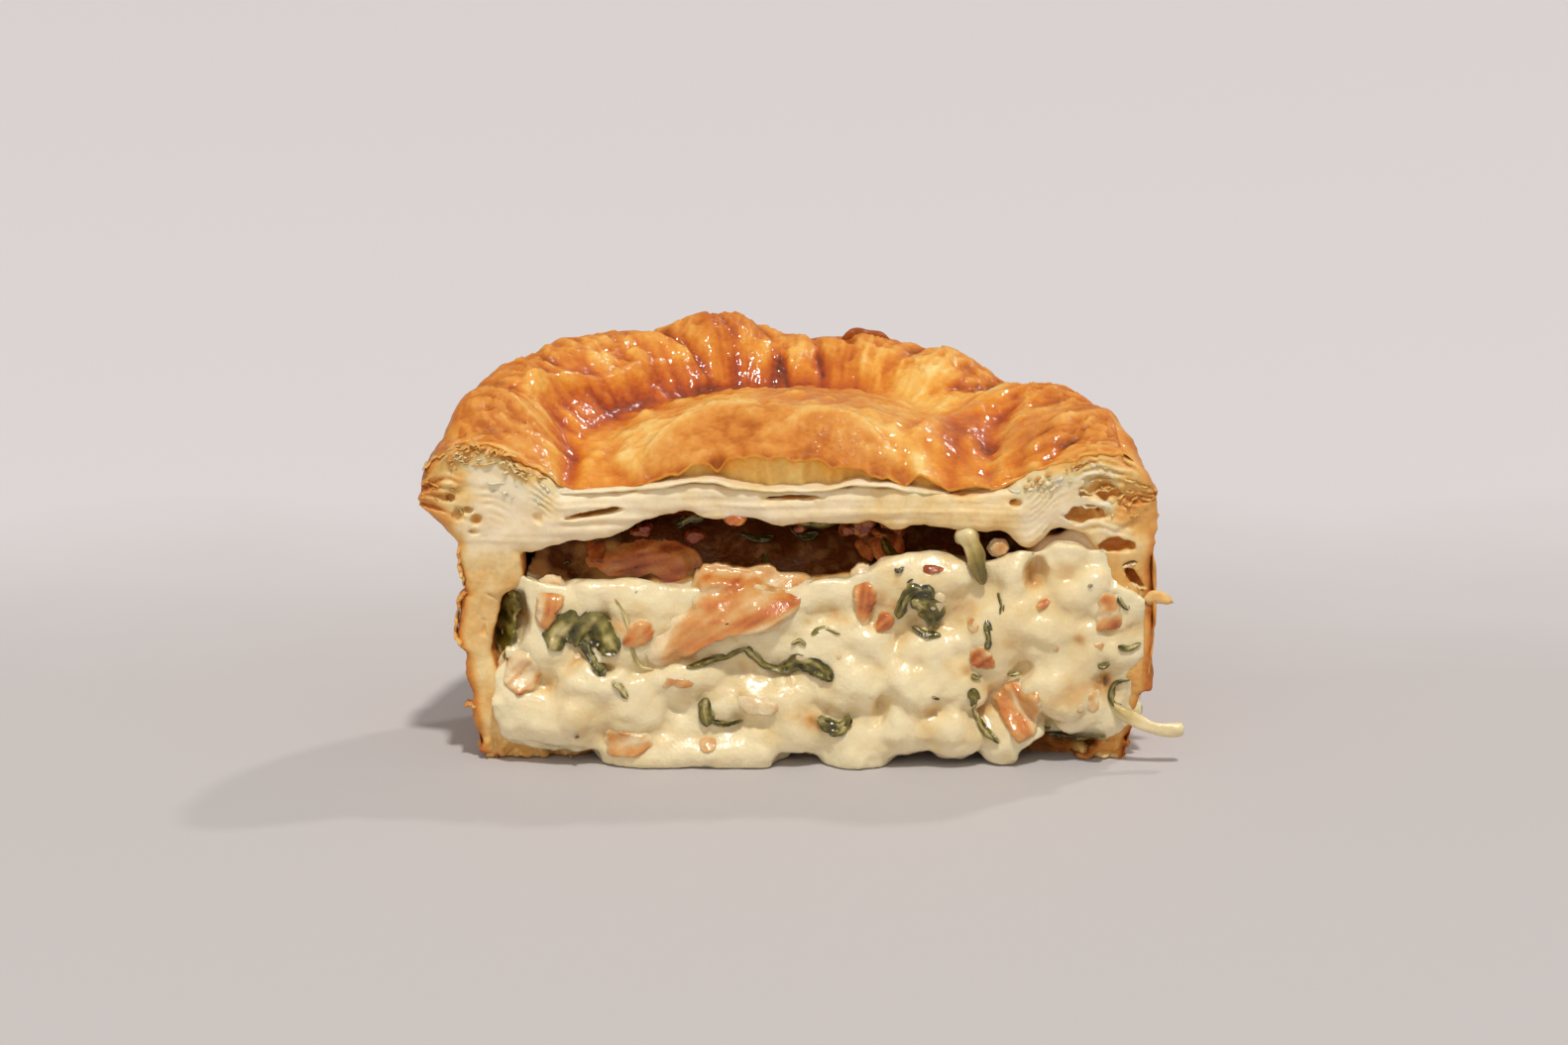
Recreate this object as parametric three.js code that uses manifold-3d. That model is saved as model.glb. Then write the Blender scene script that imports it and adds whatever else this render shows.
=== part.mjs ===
// Half of a round spinach and bacon pie, cut through the middle. A short pastry case stands on its flat base,
// a crimped puff pastry lid sits on the case's edge, and a creamy filling with bacon and spinach shows at the cut.
// Millimetres, +Z up. The cut face looks along -Y, and the pie's round axis lies in the cut plane.
import * as THREE from "three";
import { mergeVertices } from "three/addons/utils/BufferGeometryUtils.js";
import Module from "manifold-3d";

// Driving dimensions of the whole pie
const BASE_RADIUS = 49.4; // foot of the case
const WALL_RADIUS = 52.3; // the case's upright wall
const WALL_HEIGHT = 34.6; // where the lid's rim sits
const BASE_THICKNESS = 3;
const CASE_SHIFT = 2.5; // the lid sits this far left of the case's middle
const RIM_RADIUS = 54.4; // the lid's edge overhangs the wall
const CREST_RADIUS = 47.5; // highest line of the crimped rim
const BASE_CENTRE = 21; // the frame's origin on the base, this far behind the cut
const GAP = 0.35; // clearance between touching pieces
const CASE_STEPS = 60; // facets in a full turn of the case and of the sauce in it
const LID_STEPS = 84;
const KNIFE = 200; // size of the block that takes the other half away

// Height of the rim's crest over the half turn, from the right end of the cut (0) to the left end (1)
const CREST_HEIGHTS = [47.8, 52.4, 52.8, 50.9, 55.7, 57.3, 57.6, 61, 58, 59, 57.4, 56, 49.5];

const wasm = await Module();
wasm.setup();

const clamp01 = (value) => Math.min(1, Math.max(0, value));
const mix = (from, to, share) => from + (to - from) * share;
const smooth = (from, to, value) => {
  const share = clamp01((value - from) / (to - from));
  return share * share * (3 - 2 * share);
};

// Repeatable random numbers from 0 to 1
function seeded(seed) {
  let state = seed;
  return () => {
    state = (state * 1664525 + 1013904223) % 4294967296;
    return state / 4294967296;
  };
}

// Smooth value along evenly spaced heights, share from 0 to 1
function along(heights, share) {
  const last = heights.length - 1;
  const place = clamp01(share) * last;
  const first = Math.min(last - 1, Math.floor(place));
  return mix(heights[first], heights[first + 1], smooth(0, 1, place - first));
}

// Closed three.js geometry as a solid, and back
function solidOf(geometry, matrix = new THREE.Matrix4()) {
  const bare = geometry.clone().applyMatrix4(matrix);
  bare.deleteAttribute("normal");
  bare.deleteAttribute("uv");
  const merged = mergeVertices(bare, 1e-3);
  const vertProperties = merged.attributes.position.array;
  const triVerts = new Uint32Array(merged.index.array);
  return new wasm.Manifold(new wasm.Mesh({ numProp: 3, vertProperties, triVerts }));
}

function geometryOf(solid) {
  const mesh = solid.getMesh();
  const geometry = new THREE.BufferGeometry();
  geometry.setAttribute("position", new THREE.BufferAttribute(mesh.vertProperties, 3));
  geometry.setIndex(new THREE.BufferAttribute(mesh.triVerts, 1));
  geometry.computeVertexNormals();
  return geometry;
}

// The largest body of a solid, so that a loose scrap is dropped
function largestBody(solid) {
  return solid.decompose().reduce((best, body) => (body.volume() > best.volume() ? body : best));
}

// Every vertex of a geometry moved by a function of its place
function remap(geometry, move) {
  const position = geometry.attributes.position;
  const place = new THREE.Vector3();
  for (let i = 0; i < position.count; i++) {
    move(place.fromBufferAttribute(position, i));
    position.setXYZ(i, place.x, place.y, place.z);
  }
  return geometry;
}

// The same geometry with its skin pushed outwards
function grown(geometry, distance) {
  const bare = geometry.clone();
  bare.deleteAttribute("normal");
  bare.deleteAttribute("uv");
  const merged = mergeVertices(bare, 1e-3);
  merged.computeVertexNormals();
  const { position, normal } = merged.attributes;
  for (let i = 0; i < position.count; i++) {
    position.setX(i, position.getX(i) + normal.getX(i) * distance);
    position.setY(i, position.getY(i) + normal.getY(i) * distance);
    position.setZ(i, position.getZ(i) + normal.getZ(i) * distance);
  }
  return merged;
}

function box(width, depth, height, x, y, z) {
  return solidOf(new THREE.BoxGeometry(width, depth, height).translate(x, y, z));
}

function ellipsoid(radii, centre, around = 16, up = 10) {
  return solidOf(new THREE.SphereGeometry(1, around, up).scale(...radii).translate(...centre));
}

// A profile of radius and height turned about the upright axis
function turned(profile, steps) {
  const points = profile.map(([radius, height]) => new THREE.Vector2(radius, height));
  return new THREE.LatheGeometry(points, steps).rotateX(Math.PI / 2);
}

// What lies behind the knife's plane
const halfSpace = box(KNIFE, KNIFE, KNIFE, 0, KNIFE / 2, 0);

// Share of the half turn, 0 at the right end of the cut and 1 at the left end
const turnShare = (x, y) => Math.abs(Math.atan2(y, x)) / Math.PI;

// Pastry case: a flat base and an upright wall that is thick where the lid joins it, as radius and height
const OUTER_WALL = [
  [0, 0],
  [BASE_RADIUS - 3, 0],
  [BASE_RADIUS - 0.8, 0.8],
  [BASE_RADIUS + 0.3, 3],
  [BASE_RADIUS + 1.2, 7.6],
  [WALL_RADIUS - 0.4, 12.4],
  [WALL_RADIUS, 20],
  [WALL_RADIUS, 27.5],
  [WALL_RADIUS - 0.1, WALL_HEIGHT],
];
const INNER_WALL = [
  [0, BASE_THICKNESS],
  [41, BASE_THICKNESS],
  [45.2, BASE_THICKNESS + 1.2],
  [47, BASE_THICKNESS + 4.5],
  [47.2, 17],
  [46.8, 23.4],
  [45.2, 26],
  [42.6, 27.8],
  [41.6, WALL_HEIGHT],
];

// Inner radius of the case's wall at a height
function innerRadius(z) {
  for (let i = 2; i < INNER_WALL.length - 1; i++) {
    const [[radius, height], [nextRadius, nextHeight]] = [INNER_WALL[i], INNER_WALL[i + 1]];
    if (z <= nextHeight) return mix(radius, nextRadius, clamp01((z - height) / (nextHeight - height)));
  }
  return INNER_WALL.at(-1)[0];
}

// A pastry flake that peels off the wall and narrows to its tip
function flake([length, depth, height], place, turn) {
  const shape = new THREE.BoxGeometry(length, depth, height, 2, 1, 2);
  remap(shape, (p) => {
    const share = p.x / length + 0.5;
    p.z *= mix(1, 0.35, share);
    p.y *= mix(1, 0.6, share);
  });
  const matrix = new THREE.Matrix4().makeRotationFromEuler(new THREE.Euler(...turn)).setPosition(...place);
  return solidOf(shape, matrix);
}

function pastryCase() {
  const shape = turned([...OUTER_WALL, ...[...INNER_WALL].reverse()], CASE_STEPS);
  remap(shape, (p) => {
    const radius = Math.hypot(p.x, p.y);
    const angle = Math.atan2(p.y, p.x);
    const skin = radius > innerRadius(p.z) + 2 && p.z > 2 && p.z < WALL_HEIGHT - 1;
    const relief = skin ? 0.45 * Math.sin(11 * angle + 0.21 * p.z) * Math.sin(0.37 * p.z - 5 * angle) : 0;
    p.x *= 1 + relief / Math.max(radius, 1);
    p.y *= 1 + relief / Math.max(radius, 1);
  });
  shape.translate(CASE_SHIFT, 0, 0);
  const flakes = [
    flake([8.4, 5, 2.8], [-49.8, 2.2, 21.2], [0, 0.12 - Math.PI / 2, 0]),
    flake([6, 4, 3], [55.4, 1.6, 25.6], [0, 0.1, 0]),
    flake([4, 3, 2], [-48.2, 1.4, 8.4], [0, Math.PI + 0.5, 0]),
  ];
  const whole = flakes.reduce((pastry, piece) => pastry.add(piece), solidOf(shape));
  return geometryOf(largestBody(whole.intersect(halfSpace)));
}

// Pastry lid: a domed middle inside a valley, and a pleated rim. All of it sags where the knife went through.
const DOME = { middle: -2, halfWidth: 23, rise: 5.6, full: 14, ends: 34 }; // full and ends: depth behind the cut
const VALLEY = 43; // height of the valley at the cut
const SAG = 5.2; // how much lower the lid lies at the cut
const SAG_DEPTH = 8; // how fast that fades behind the cut
const BACK_RISE = 2; // how much more the valley rises to the back
const PLEATS = 19; // folds in a full turn of the rim
const PLEAT_HEIGHT = 1.1;

function lidUnder(radius) {
  const sag = 36.9 - 3.2 * smooth(20, 36, radius);
  return radius < 37.4 ? sag : mix(sag, WALL_HEIGHT + GAP, smooth(37.4, 38, radius));
}

function pleats(radius, angle) {
  const turns = (PLEATS * angle) / (2 * Math.PI) + (radius - CREST_RADIUS) / 21;
  const saw = turns - Math.floor(turns);
  const fold = saw < 0.7 ? saw / 0.7 : (1 - saw) / 0.3;
  return PLEAT_HEIGHT * (2 * smooth(0, 1, fold) - 1) * smooth(31, 43, radius);
}

function lidTop(x, y) {
  const depth = Math.abs(y);
  const radius = Math.hypot(x, y);
  const angle = Math.abs(Math.atan2(y, x));
  const floor = VALLEY + SAG * (1 - Math.exp(-depth / SAG_DEPTH)) + BACK_RISE * smooth(8, 40, depth);
  const bulge = Math.max(0, 1 - ((x - DOME.middle) / DOME.halfWidth) ** 2) ** 0.8;
  const dome = DOME.rise * bulge * smooth(DOME.ends, DOME.full, depth);
  const crest = along(CREST_HEIGHTS, turnShare(x, y)) + pleats(radius, angle) - floor;
  const innerWidth = 10 + 9 * Math.cos(angle) ** 2;
  const inner = 0.5 + 0.5 * Math.cos(Math.PI * clamp01((CREST_RADIUS - radius) / innerWidth));
  const fall = clamp01((radius - CREST_RADIUS) / (RIM_RADIUS - CREST_RADIUS));
  const outer = 1 - (0.42 + 0.02 * crest) * fall * fall;
  return floor + Math.max(dome, crest * (radius < CREST_RADIUS ? inner : outer));
}

// The lid's profile: radius, and 0 on the underside to 1 on the top
function lidProfile() {
  const under = [0, 10, 20, 26, 31, 35, 37.3, 38.2, 45, 51].map((radius) => [radius, 0]);
  const edge = [0.12, 0.3, 0.52, 0.74, 0.9].map((share) => [
    mix(51, RIM_RADIUS, Math.sin(Math.PI * share) ** 0.6),
    share,
  ]);
  const top = [51, 49.2, 47.4, 45.4, 43, 40.5, 38, 35, 32, 28.5, 24.5, 20, 15, 10, 5, 0].map((radius) => [radius, 1]);
  return [...under, ...edge, ...top];
}

// A lens-shaped hollow between two sheets of pastry, open at the cut
function airGap(halfWidth, depth, halfHeight, x, z, tilt) {
  const shape = new THREE.SphereGeometry(1, 14, 6).scale(halfWidth, depth, halfHeight);
  return solidOf(shape.rotateY(tilt), new THREE.Matrix4().setPosition(x, 0, z));
}

function pastryLid() {
  const shape = turned(lidProfile(), LID_STEPS);
  remap(shape, (p) => {
    const level = p.z;
    const angle = Math.atan2(p.y, p.x);
    const radius = Math.hypot(p.x, p.y);
    const wave = 1 + (level > 0.1 && level < 0.95 ? 0.012 * Math.sin(PLEATS * angle + 1) : 0);
    const lower = lidUnder(radius);
    p.z = mix(lower, lidTop(p.x, p.y), level);
    p.x *= wave;
    p.y *= wave;
  });
  const gaps = [
    airGap(17, 14, 1.9, -1.5, 44.9, 0), // the bubble under the dome
    airGap(4, 4, 0.9, -29.5, 37.9, -0.16),
    airGap(5, 5, 0.8, 0.5, 40.6, 0.04),
    airGap(6, 4, 0.8, -44, 44.6, 0.2),
    airGap(7, 4, 0.7, -41, 42.2, 0.34),
    airGap(2, 3, 0.9, -48.5, 39.4, 0.9),
    airGap(7, 5, 0.9, 45, 43.6, -0.12),
    airGap(5, 6, 1.5, 46, 39.6, 0.1),
    airGap(4, 4, 0.7, 40, 41.6, -0.5),
  ];
  const crumb = ellipsoid([3.8, 2.2, 1.6], [12.5, 46.4, 57.4], 10, 6);
  const whole = gaps.reduce((pastry, gap) => pastry.subtract(gap), solidOf(shape).add(crumb));
  return geometryOf(largestBody(whole.intersect(halfSpace)));
}

// Filling: sauce that fills the case, slumps out of the cut and leaves an air gap under the lid
const FILLING_FLOOR = BASE_THICKNESS + 1.5 * GAP;
const FILLING_CEILING = 33;
const FACE_GRID = [36, 10]; // facets across and up the cut face
const SMEAR = 3.6; // how far sauce covers the cut of the right wall
// Height of the sauce's upper edge along the cut, left to right
const EDGE_LINE = [30, 27.4, 27, 27.4, 28.4, 28.6, 29, 30.4, 33, 31, 28.4, 32];
// Swellings of the cut face: across, up, half width, half height, how far they stand out
const SWELLINGS = [
  [-36, 24, 6, 5, 2.4],
  [-40, 15, 6, 5, 2.6],
  [-36, 8, 9, 4.6, 4],
  [-24, 13, 8, 6, 3],
  [-14, 8, 14, 8, 4.6],
  [-10, 21, 13, 7, 2.6],
  [4, 15, 9, 6, 3.2],
  [9, 7, 7, 7, 4.4],
  [14, 24, 8, 6, 2.6],
  [22, 22, 8, 9, 4],
  [22, 8, 8, 7, 5],
  [35, 24, 8, 8, 3.2],
  [34, 8, 7, 7, 3.6],
  [44, 19, 7, 8, 3],
  [43, 9, 7, 6, 3.4],
];
// Runs of sauce down over the base to the table: across, half width, reach in front, height
const RUNS = [
  [-14.5, 14, 5.6, 9],
  [10.6, 5.4, 4.8, 9],
  [33.6, 2.6, 4, 6],
];

function swelling(x, z) {
  let most = 0.8;
  for (const [across, up, halfWidth, halfHeight, out] of SWELLINGS) {
    const reach = ((x - across) / halfWidth) ** 2 + ((z - up) / halfHeight) ** 2;
    most = Math.max(most, out * Math.sqrt(Math.max(0, 1 - 0.72 * reach)));
  }
  const wallGap = 4.5 * Math.exp(-(((x + 43) / 2.6) ** 2) - ((z - 21) / 6) ** 2);
  return most - wallGap;
}

function fillingTop(x, y) {
  const edge = along(EDGE_LINE, (x - CASE_SHIFT) / 90 + 0.5);
  const lumps = 1.1 * Math.sin(0.34 * x + 0.5) * Math.sin(0.29 * y + 0.8) * smooth(0, 8, y);
  const rise = 5.5 * smooth(8, 34, y) + lumps;
  return Math.min(edge + rise, FILLING_CEILING);
}

// Sauce behind the cut, turned to fit the case, with its uneven upper surface
function sauceBody() {
  const wall = INNER_WALL.slice(1).map(([radius, height]) => [radius - 1.5 * GAP, height + 1.5 * GAP]);
  const top = [35, 28, 21, 14, 7, 0].map((radius) => [radius, WALL_HEIGHT]);
  const shape = turned([[0, FILLING_FLOOR], ...wall, ...top], CASE_STEPS).translate(CASE_SHIFT, 0, 0);
  remap(shape, (p) => {
    p.z = Math.min(p.z, fillingTop(p.x, Math.abs(p.y)));
  });
  return solidOf(shape).intersect(halfSpace);
}

// The swollen cut face, as a wavy skin closed behind to one point inside the body
function sauceFace() {
  const [across, up] = FACE_GRID;
  const skin = new THREE.PlaneGeometry(2, 1, across, up).translate(0, 0.5, 0);
  remap(skin, (p) => {
    const [side, level] = [p.x, p.y];
    const z = mix(FILLING_FLOOR, fillingTop(side * 40, 0), level);
    const smear = side > 0 ? SMEAR * smooth(28, 22, z) * smooth(4, 10, z) : 0;
    const x = CASE_SHIFT + side * (innerRadius(z) - 2 * GAP + smear);
    const hem = smooth(0, 0.1, 1 - Math.abs(side)) * (0.45 + 0.55 * smooth(1, 0.82, level));
    p.set(x, -swelling(x, z) * hem, z);
  });
  const columns = across + 1;
  const heart = columns * (up + 1);
  const border = [];
  for (let i = 0; i < across; i++) border.push(i);
  for (let j = 0; j < up; j++) border.push(j * columns + across);
  for (let i = across; i > 0; i--) border.push(up * columns + i);
  for (let j = up; j > 0; j--) border.push(j * columns);
  const rim = border.flatMap((corner, i) => [heart, corner, border[(i + 1) % border.length]]);
  const face = new THREE.BufferGeometry();
  const places = [...skin.attributes.position.array, 0, 20, 15];
  face.setAttribute("position", new THREE.Float32BufferAttribute(places, 3));
  face.setIndex([...skin.index.array, ...rim]);
  return solidOf(face);
}

function run([across, halfWidth, reach, height]) {
  const body = ellipsoid([halfWidth, reach, height], [across, -0.4, 1.2], 16, 10);
  const table = box(KNIFE, KNIFE, KNIFE, 0, 0, -KNIFE / 2);
  return body.subtract(table);
}

// Bacon: an uneven slab with softened edges, bent along its length
function baconShape({ size, bend = 0.08, seed }) {
  const [length, thickness, height] = size;
  const random = seeded(seed);
  const phases = [random(), random(), random()].map((value) => value * 6.28);
  const shape = new THREE.BoxGeometry(2, 2, 2, 3, 2, 2);
  return remap(shape, (p) => {
    const round = 1 - 0.16 * (Math.abs(p.x * p.z) ** 2 + Math.abs(p.y * p.z) ** 4 + Math.abs(p.x * p.y) ** 4);
    const ragged = 1 + 0.1 * Math.sin(3.1 * p.x + phases[0]) * Math.cos(2.3 * p.z + phases[1]);
    const lift = bend * length * (p.x * p.x - 0.4) + 0.08 * thickness * Math.sin(4 * p.z + phases[2]);
    p.set(p.x * round * ragged * length / 2, p.y * round * thickness / 2 + lift, p.z * round * ragged * height / 2);
  });
}

// Spinach: a thin wavy leaf, pointed at both ends, with both faces split alike
function leafShape({ size, thickness = 0.9, waves = 1.5, curl = 0, seed }) {
  const [length, width] = size;
  const phase = seeded(seed)() * 6.28;
  const shape = new THREE.BoxGeometry(2, 1, 2, 8, 1, 2);
  return remap(shape, (p) => {
    const outline = 0.25 + 0.75 * Math.sqrt(Math.max(0, 1 - p.x ** 2)) * (1 - 0.15 * Math.sin(5 * p.x + phase));
    const crease = 0.16 * width * Math.abs(p.z) * outline;
    const wave = 0.13 * length * Math.sin(waves * Math.PI * p.x + phase);
    const turn = curl * p.x;
    const x = (p.x * length) / 2;
    const z = (p.z * width * outline) / 2 + wave;
    p.set(x * Math.cos(turn), p.y * thickness + crease + 0.4 * x * Math.sin(turn), z + x * Math.sin(turn));
  });
}

// A round stem along a bent line
function stemShape({ points, radius }) {
  const path = new THREE.CatmullRomCurve3(points.map((point) => new THREE.Vector3(...point)));
  const section = new THREE.Shape().absellipse(0, 0, radius, radius * 0.86, 0, 2 * Math.PI);
  return new THREE.ExtrudeGeometry(section, { steps: 6, curveSegments: 4, extrudePath: path });
}

// What shows in the cut: place is across, in front of (-) or behind the cut, and up
const BACON = [
  { name: "bacon_slab", size: [25, 3.6, 11], place: [-8.6, -1.6, 22.4], turn: [-0.45, -0.42, 0], bend: 0.03, seed: 3 },
  { name: "bacon_corner", size: [8.4, 3.4, 12.5], place: [34.6, -3.2, 6.9], turn: [0.05, -0.15, 0], seed: 5 },
  { name: "bacon_upright", size: [3.6, 2.6, 9.6], place: [11.4, -1.9, 25], turn: [-0.15, 0.12, 0], seed: 8 },
  { name: "bacon_wedge", size: [4.6, 2.6, 5], place: [15.4, -2.6, 21.2], turn: [0, -0.2, 0], seed: 13 },
  { name: "bacon_left_top", size: [6, 3.4, 6], place: [-36, -1.2, 26], turn: [-0.3, 0.4, 0], seed: 21 },
  { name: "bacon_left", size: [8, 3.2, 7.6], place: [-40, -2, 14.6], turn: [0.1, 0.25, 0], seed: 34 },
  { name: "bacon_foot", size: [8.6, 3, 4.4], place: [-24, -4.2, 4.4], turn: [0.1, 0.2, 0], seed: 55 },
  { name: "bacon_middle", size: [6.4, 3, 3.8], place: [-5.2, -3.6, 9.9], turn: [0, 0.1, 0], seed: 89 },
  { name: "bacon_red", size: [3.4, 2.8, 6.6], place: [28.4, -2.7, 16.6], turn: [0, 0.35, 0], seed: 144 },
  { name: "bacon_right", size: [4.2, 3, 7.2], place: [47.6, -2.6, 24.2], turn: [0, 0.25, 0], seed: 233 },
  { name: "bacon_behind", size: [4.4, 2.8, 4.2], place: [-23, -2.4, 20.4], turn: [0, 0.2, 0], seed: 377 },
  { name: "bacon_strip", size: [17, 3.2, 3], place: [-22.5, 7, 30.2], turn: [0, -0.06, 0.1], bend: 0.02, seed: 610 },
];
const SPINACH = [
  { name: "spinach_curl", size: [11.4, 5.6], place: [-31.4, -3.6, 18], turn: [0.1, 0.35, 0], curl: 0.5, seed: 2 },
  { name: "spinach_long", size: [20.6, 3.2], place: [-2.6, -4.4, 14.6], turn: [0, 0.06, 0], waves: 1.2, seed: 4 },
  { name: "spinach_hook", size: [7, 2.6], place: [-10, -4.6, 7.2], turn: [0, 0.6, 0], curl: -0.4, seed: 6 },
  { name: "spinach_scrap", size: [5, 3], place: [6.9, -4.4, 7.2], turn: [0, -0.1, 0], seed: 10 },
  { name: "spinach_folded", size: [8.6, 5.6], place: [21.4, -4.2, 23.4], turn: [0, 1.1, 0], curl: 0.3, seed: 12 },
  { name: "spinach_strip", size: [9.6, 2], place: [26.4, -4.4, 8], turn: [0, 1.05, 0], waves: 0.8, seed: 14 },
  { name: "spinach_loop", size: [5, 3], place: [48.6, -3, 12.4], turn: [0, 1.2, 0], curl: 0.7, seed: 16 },
  { name: "spinach_bottom", size: [9.6, 2.4], place: [44.4, -3, 5], turn: [0, -0.05, 0], waves: 1, seed: 18 },
  { name: "spinach_wall", size: [12.5, 3.6], place: [-41, 0.6, 19.6], turn: [0, -1.3, 0], waves: 0.6, seed: 20 },
  { name: "spinach_slip", size: [4.4, 2.2], place: [30.2, -3, 21.6], turn: [0, 1.4, 0], waves: 0.5, seed: 22 },
  { name: "spinach_roof", size: [8, 2.6], place: [8.4, 3.4, 34.4], turn: [1.2, 0, 0], waves: 1, seed: 24 },
];
const STEMS = [
  { name: "stem_upper", radius: 1.9, points: [[25.4, -1.7, 33.6], [27.2, -2.3, 31.4], [28.4, -2.9, 27.4]] },
  { name: "stem_side", radius: 1, points: [[42.6, -2, 9.2], [50.4, -2.6, 7.4], [55.4, -2.6, 5.9], [59.6, -2.6, 5.6]] },
];

const PASTRY_INSIDE = 0xe8cf94;
const PASTRY_GOLD = 0xc9802f;
const CREAM = 0xecd9a6;
const MEAT = 0xd88a52;
const LEAF = 0x3c4420;
const STALK = 0xb9b878;

function matter(color, roughness) {
  return new THREE.MeshStandardMaterial({ color, roughness, metalness: 0 });
}

function namedMesh(name, geometry, material) {
  const mesh = new THREE.Mesh(geometry, material);
  mesh.name = name;
  return mesh;
}

function placed(mesh, { place, turn }) {
  mesh.position.set(...place);
  mesh.rotation.set(...turn);
  mesh.updateMatrix();
  return mesh;
}

const bacon = BACON.map((piece) => placed(namedMesh(piece.name, baconShape(piece), matter(MEAT, 0.35)), piece));
const spinach = SPINACH.map((leaf) => placed(namedMesh(leaf.name, leafShape(leaf), matter(LEAF, 0.3)), leaf));
const stems = STEMS.map((stem) => namedMesh(stem.name, stemShape(stem), matter(STALK, 0.4)));
const contents = [...bacon, ...spinach, ...stems];

const caseGeometry = pastryCase();

// The sauce with its runs, fitted to the case and hollowed where bacon, leaves and stems lie in it
function filling() {
  const whole = RUNS.map(run).reduce((body, piece) => body.add(piece), sauceBody().add(sauceFace()));
  const pockets = contents.map((piece) => solidOf(grown(piece.geometry, 1.5 * GAP), piece.matrix));
  const fitted = pockets.reduce((body, pocket) => body.subtract(pocket), whole);
  return geometryOf(largestBody(fitted.subtract(solidOf(grown(caseGeometry, GAP)))));
}

const pie = new THREE.Group();
pie.position.set(-CASE_SHIFT, -BASE_CENTRE, 0);
pie.add(namedMesh("pastry_case", caseGeometry, matter(PASTRY_INSIDE, 0.6)));
pie.add(namedMesh("pastry_lid", pastryLid(), matter(PASTRY_GOLD, 0.35)));
pie.add(namedMesh("filling", filling(), matter(CREAM, 0.25)));
pie.add(...contents);

const part = new THREE.Group();
part.add(pie);

export default part;
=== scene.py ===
import math

import bpy
import numpy as np
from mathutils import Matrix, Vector


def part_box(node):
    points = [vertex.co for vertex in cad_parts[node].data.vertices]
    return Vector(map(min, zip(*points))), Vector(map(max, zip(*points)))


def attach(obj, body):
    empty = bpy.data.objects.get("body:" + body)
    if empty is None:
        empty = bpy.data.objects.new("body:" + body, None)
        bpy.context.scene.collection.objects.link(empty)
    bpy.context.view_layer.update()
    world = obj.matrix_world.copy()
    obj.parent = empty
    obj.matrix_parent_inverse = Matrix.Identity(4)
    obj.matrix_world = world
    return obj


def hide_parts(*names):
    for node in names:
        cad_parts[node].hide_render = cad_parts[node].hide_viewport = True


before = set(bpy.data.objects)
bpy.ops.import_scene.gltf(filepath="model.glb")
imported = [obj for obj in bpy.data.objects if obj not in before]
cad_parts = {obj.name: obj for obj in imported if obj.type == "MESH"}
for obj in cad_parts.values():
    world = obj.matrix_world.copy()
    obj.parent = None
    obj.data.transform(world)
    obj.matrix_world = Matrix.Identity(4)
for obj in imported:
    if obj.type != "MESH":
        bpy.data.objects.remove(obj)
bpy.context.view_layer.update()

# All shapes are made in millimetres: x from the lid's middle, y behind the cut, z above the table
caseShift = 2.5
pieOrigin = np.array([-caseShift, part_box("pastry_case")[0][1] * 1000, 0.0])
tableGap = 0.05
arcScale = 50.0  # millimetres round the wall for each radian


def smooth(start, end, value):
    share = np.clip((value - start) / (end - start), 0, 1)
    return share * share * (3 - 2 * share)


def mix(start, end, share):
    return start + (end - start) * share


def bell(value, middle, width):
    return np.exp(-(((value - middle) / width) ** 2))


# Soft round spot on a plane, 1 at its middle
def spot(x, y, middleX, middleY, reach):
    return np.exp(-((x - middleX) ** 2 + (y - middleY) ** 2) / reach**2)


# Places on a plane along and across a direction
def alongAcross(x, y, angle):
    return x * math.cos(angle) + y * math.sin(angle), y * math.cos(angle) - x * math.sin(angle)


# Smooth value along evenly spaced heights, share from 0 to 1
def along(heights, share):
    heights = np.asarray(heights, float)
    place = np.clip(share, 0, 1) * (len(heights) - 1)
    first = np.minimum(np.floor(place).astype(int), len(heights) - 2)
    return mix(heights[first], heights[first + 1], smooth(0, 1, place - first))


# Smooth curve through listed corners, as evenly shared points
def curveThrough(corners, count):
    corners = np.asarray(corners, float)
    padded = np.vstack([2 * corners[0] - corners[1], corners, 2 * corners[-1] - corners[-2]])
    place = np.linspace(0, len(corners) - 1, count)
    first = np.minimum(np.floor(place).astype(int), len(corners) - 2)
    t = (place - first)[:, None]
    a, b, c, d = (padded[first + k] for k in range(4))
    return 0.5 * (2 * b + (c - a) * t + (2 * a - 5 * b + 4 * c - d) * t**2 + (3 * b - a - 3 * c + d) * t**3)


def curveAt(corners, value):
    table = curveThrough(corners, 240)
    return np.interp(value, table[:, 0], table[:, 1])


# Unit normals of a line on a plane, to its left
def lineNormals(line):
    step = np.gradient(line, axis=0)
    normal = np.stack([-step[:, 1], step[:, 0]], -1)
    return normal / np.linalg.norm(normal, axis=1)[:, None]


# Signed distance from a line on a plane, positive on its left, and the share of its length there
def lineReach(x, y, corners):
    steps = 24
    line = curveThrough(corners, steps + 1)
    reach = np.full(np.broadcast(x, y).shape, 1e9)
    share = np.zeros_like(reach)
    for k in range(steps):
        (ax, ay), (bx, by) = line[k], line[k + 1]
        ux, uy = bx - ax, by - ay
        place = np.clip(((x - ax) * ux + (y - ay) * uy) / (ux * ux + uy * uy), 0, 1)
        dx, dy = x - ax - place * ux, y - ay - place * uy
        gap = np.hypot(dx, dy)
        near = gap < np.abs(reach)
        reach = np.where(near, np.where(ux * dy - uy * dx > 0, gap, -gap), reach)
        share = np.where(near, (k + place) / steps, share)
    return reach, share


def lattice(ix, iy, iz, seed):
    mixed = (ix * 374761393 + iy * 668265263 + iz * 1440662683 + seed * 982451653) & 0xFFFFFFFF
    mixed = ((mixed ^ (mixed >> 13)) * 1274126177) & 0xFFFFFFFF
    return ((mixed ^ (mixed >> 16)) & 0xFFFF) / 32767.5 - 1.0


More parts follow.
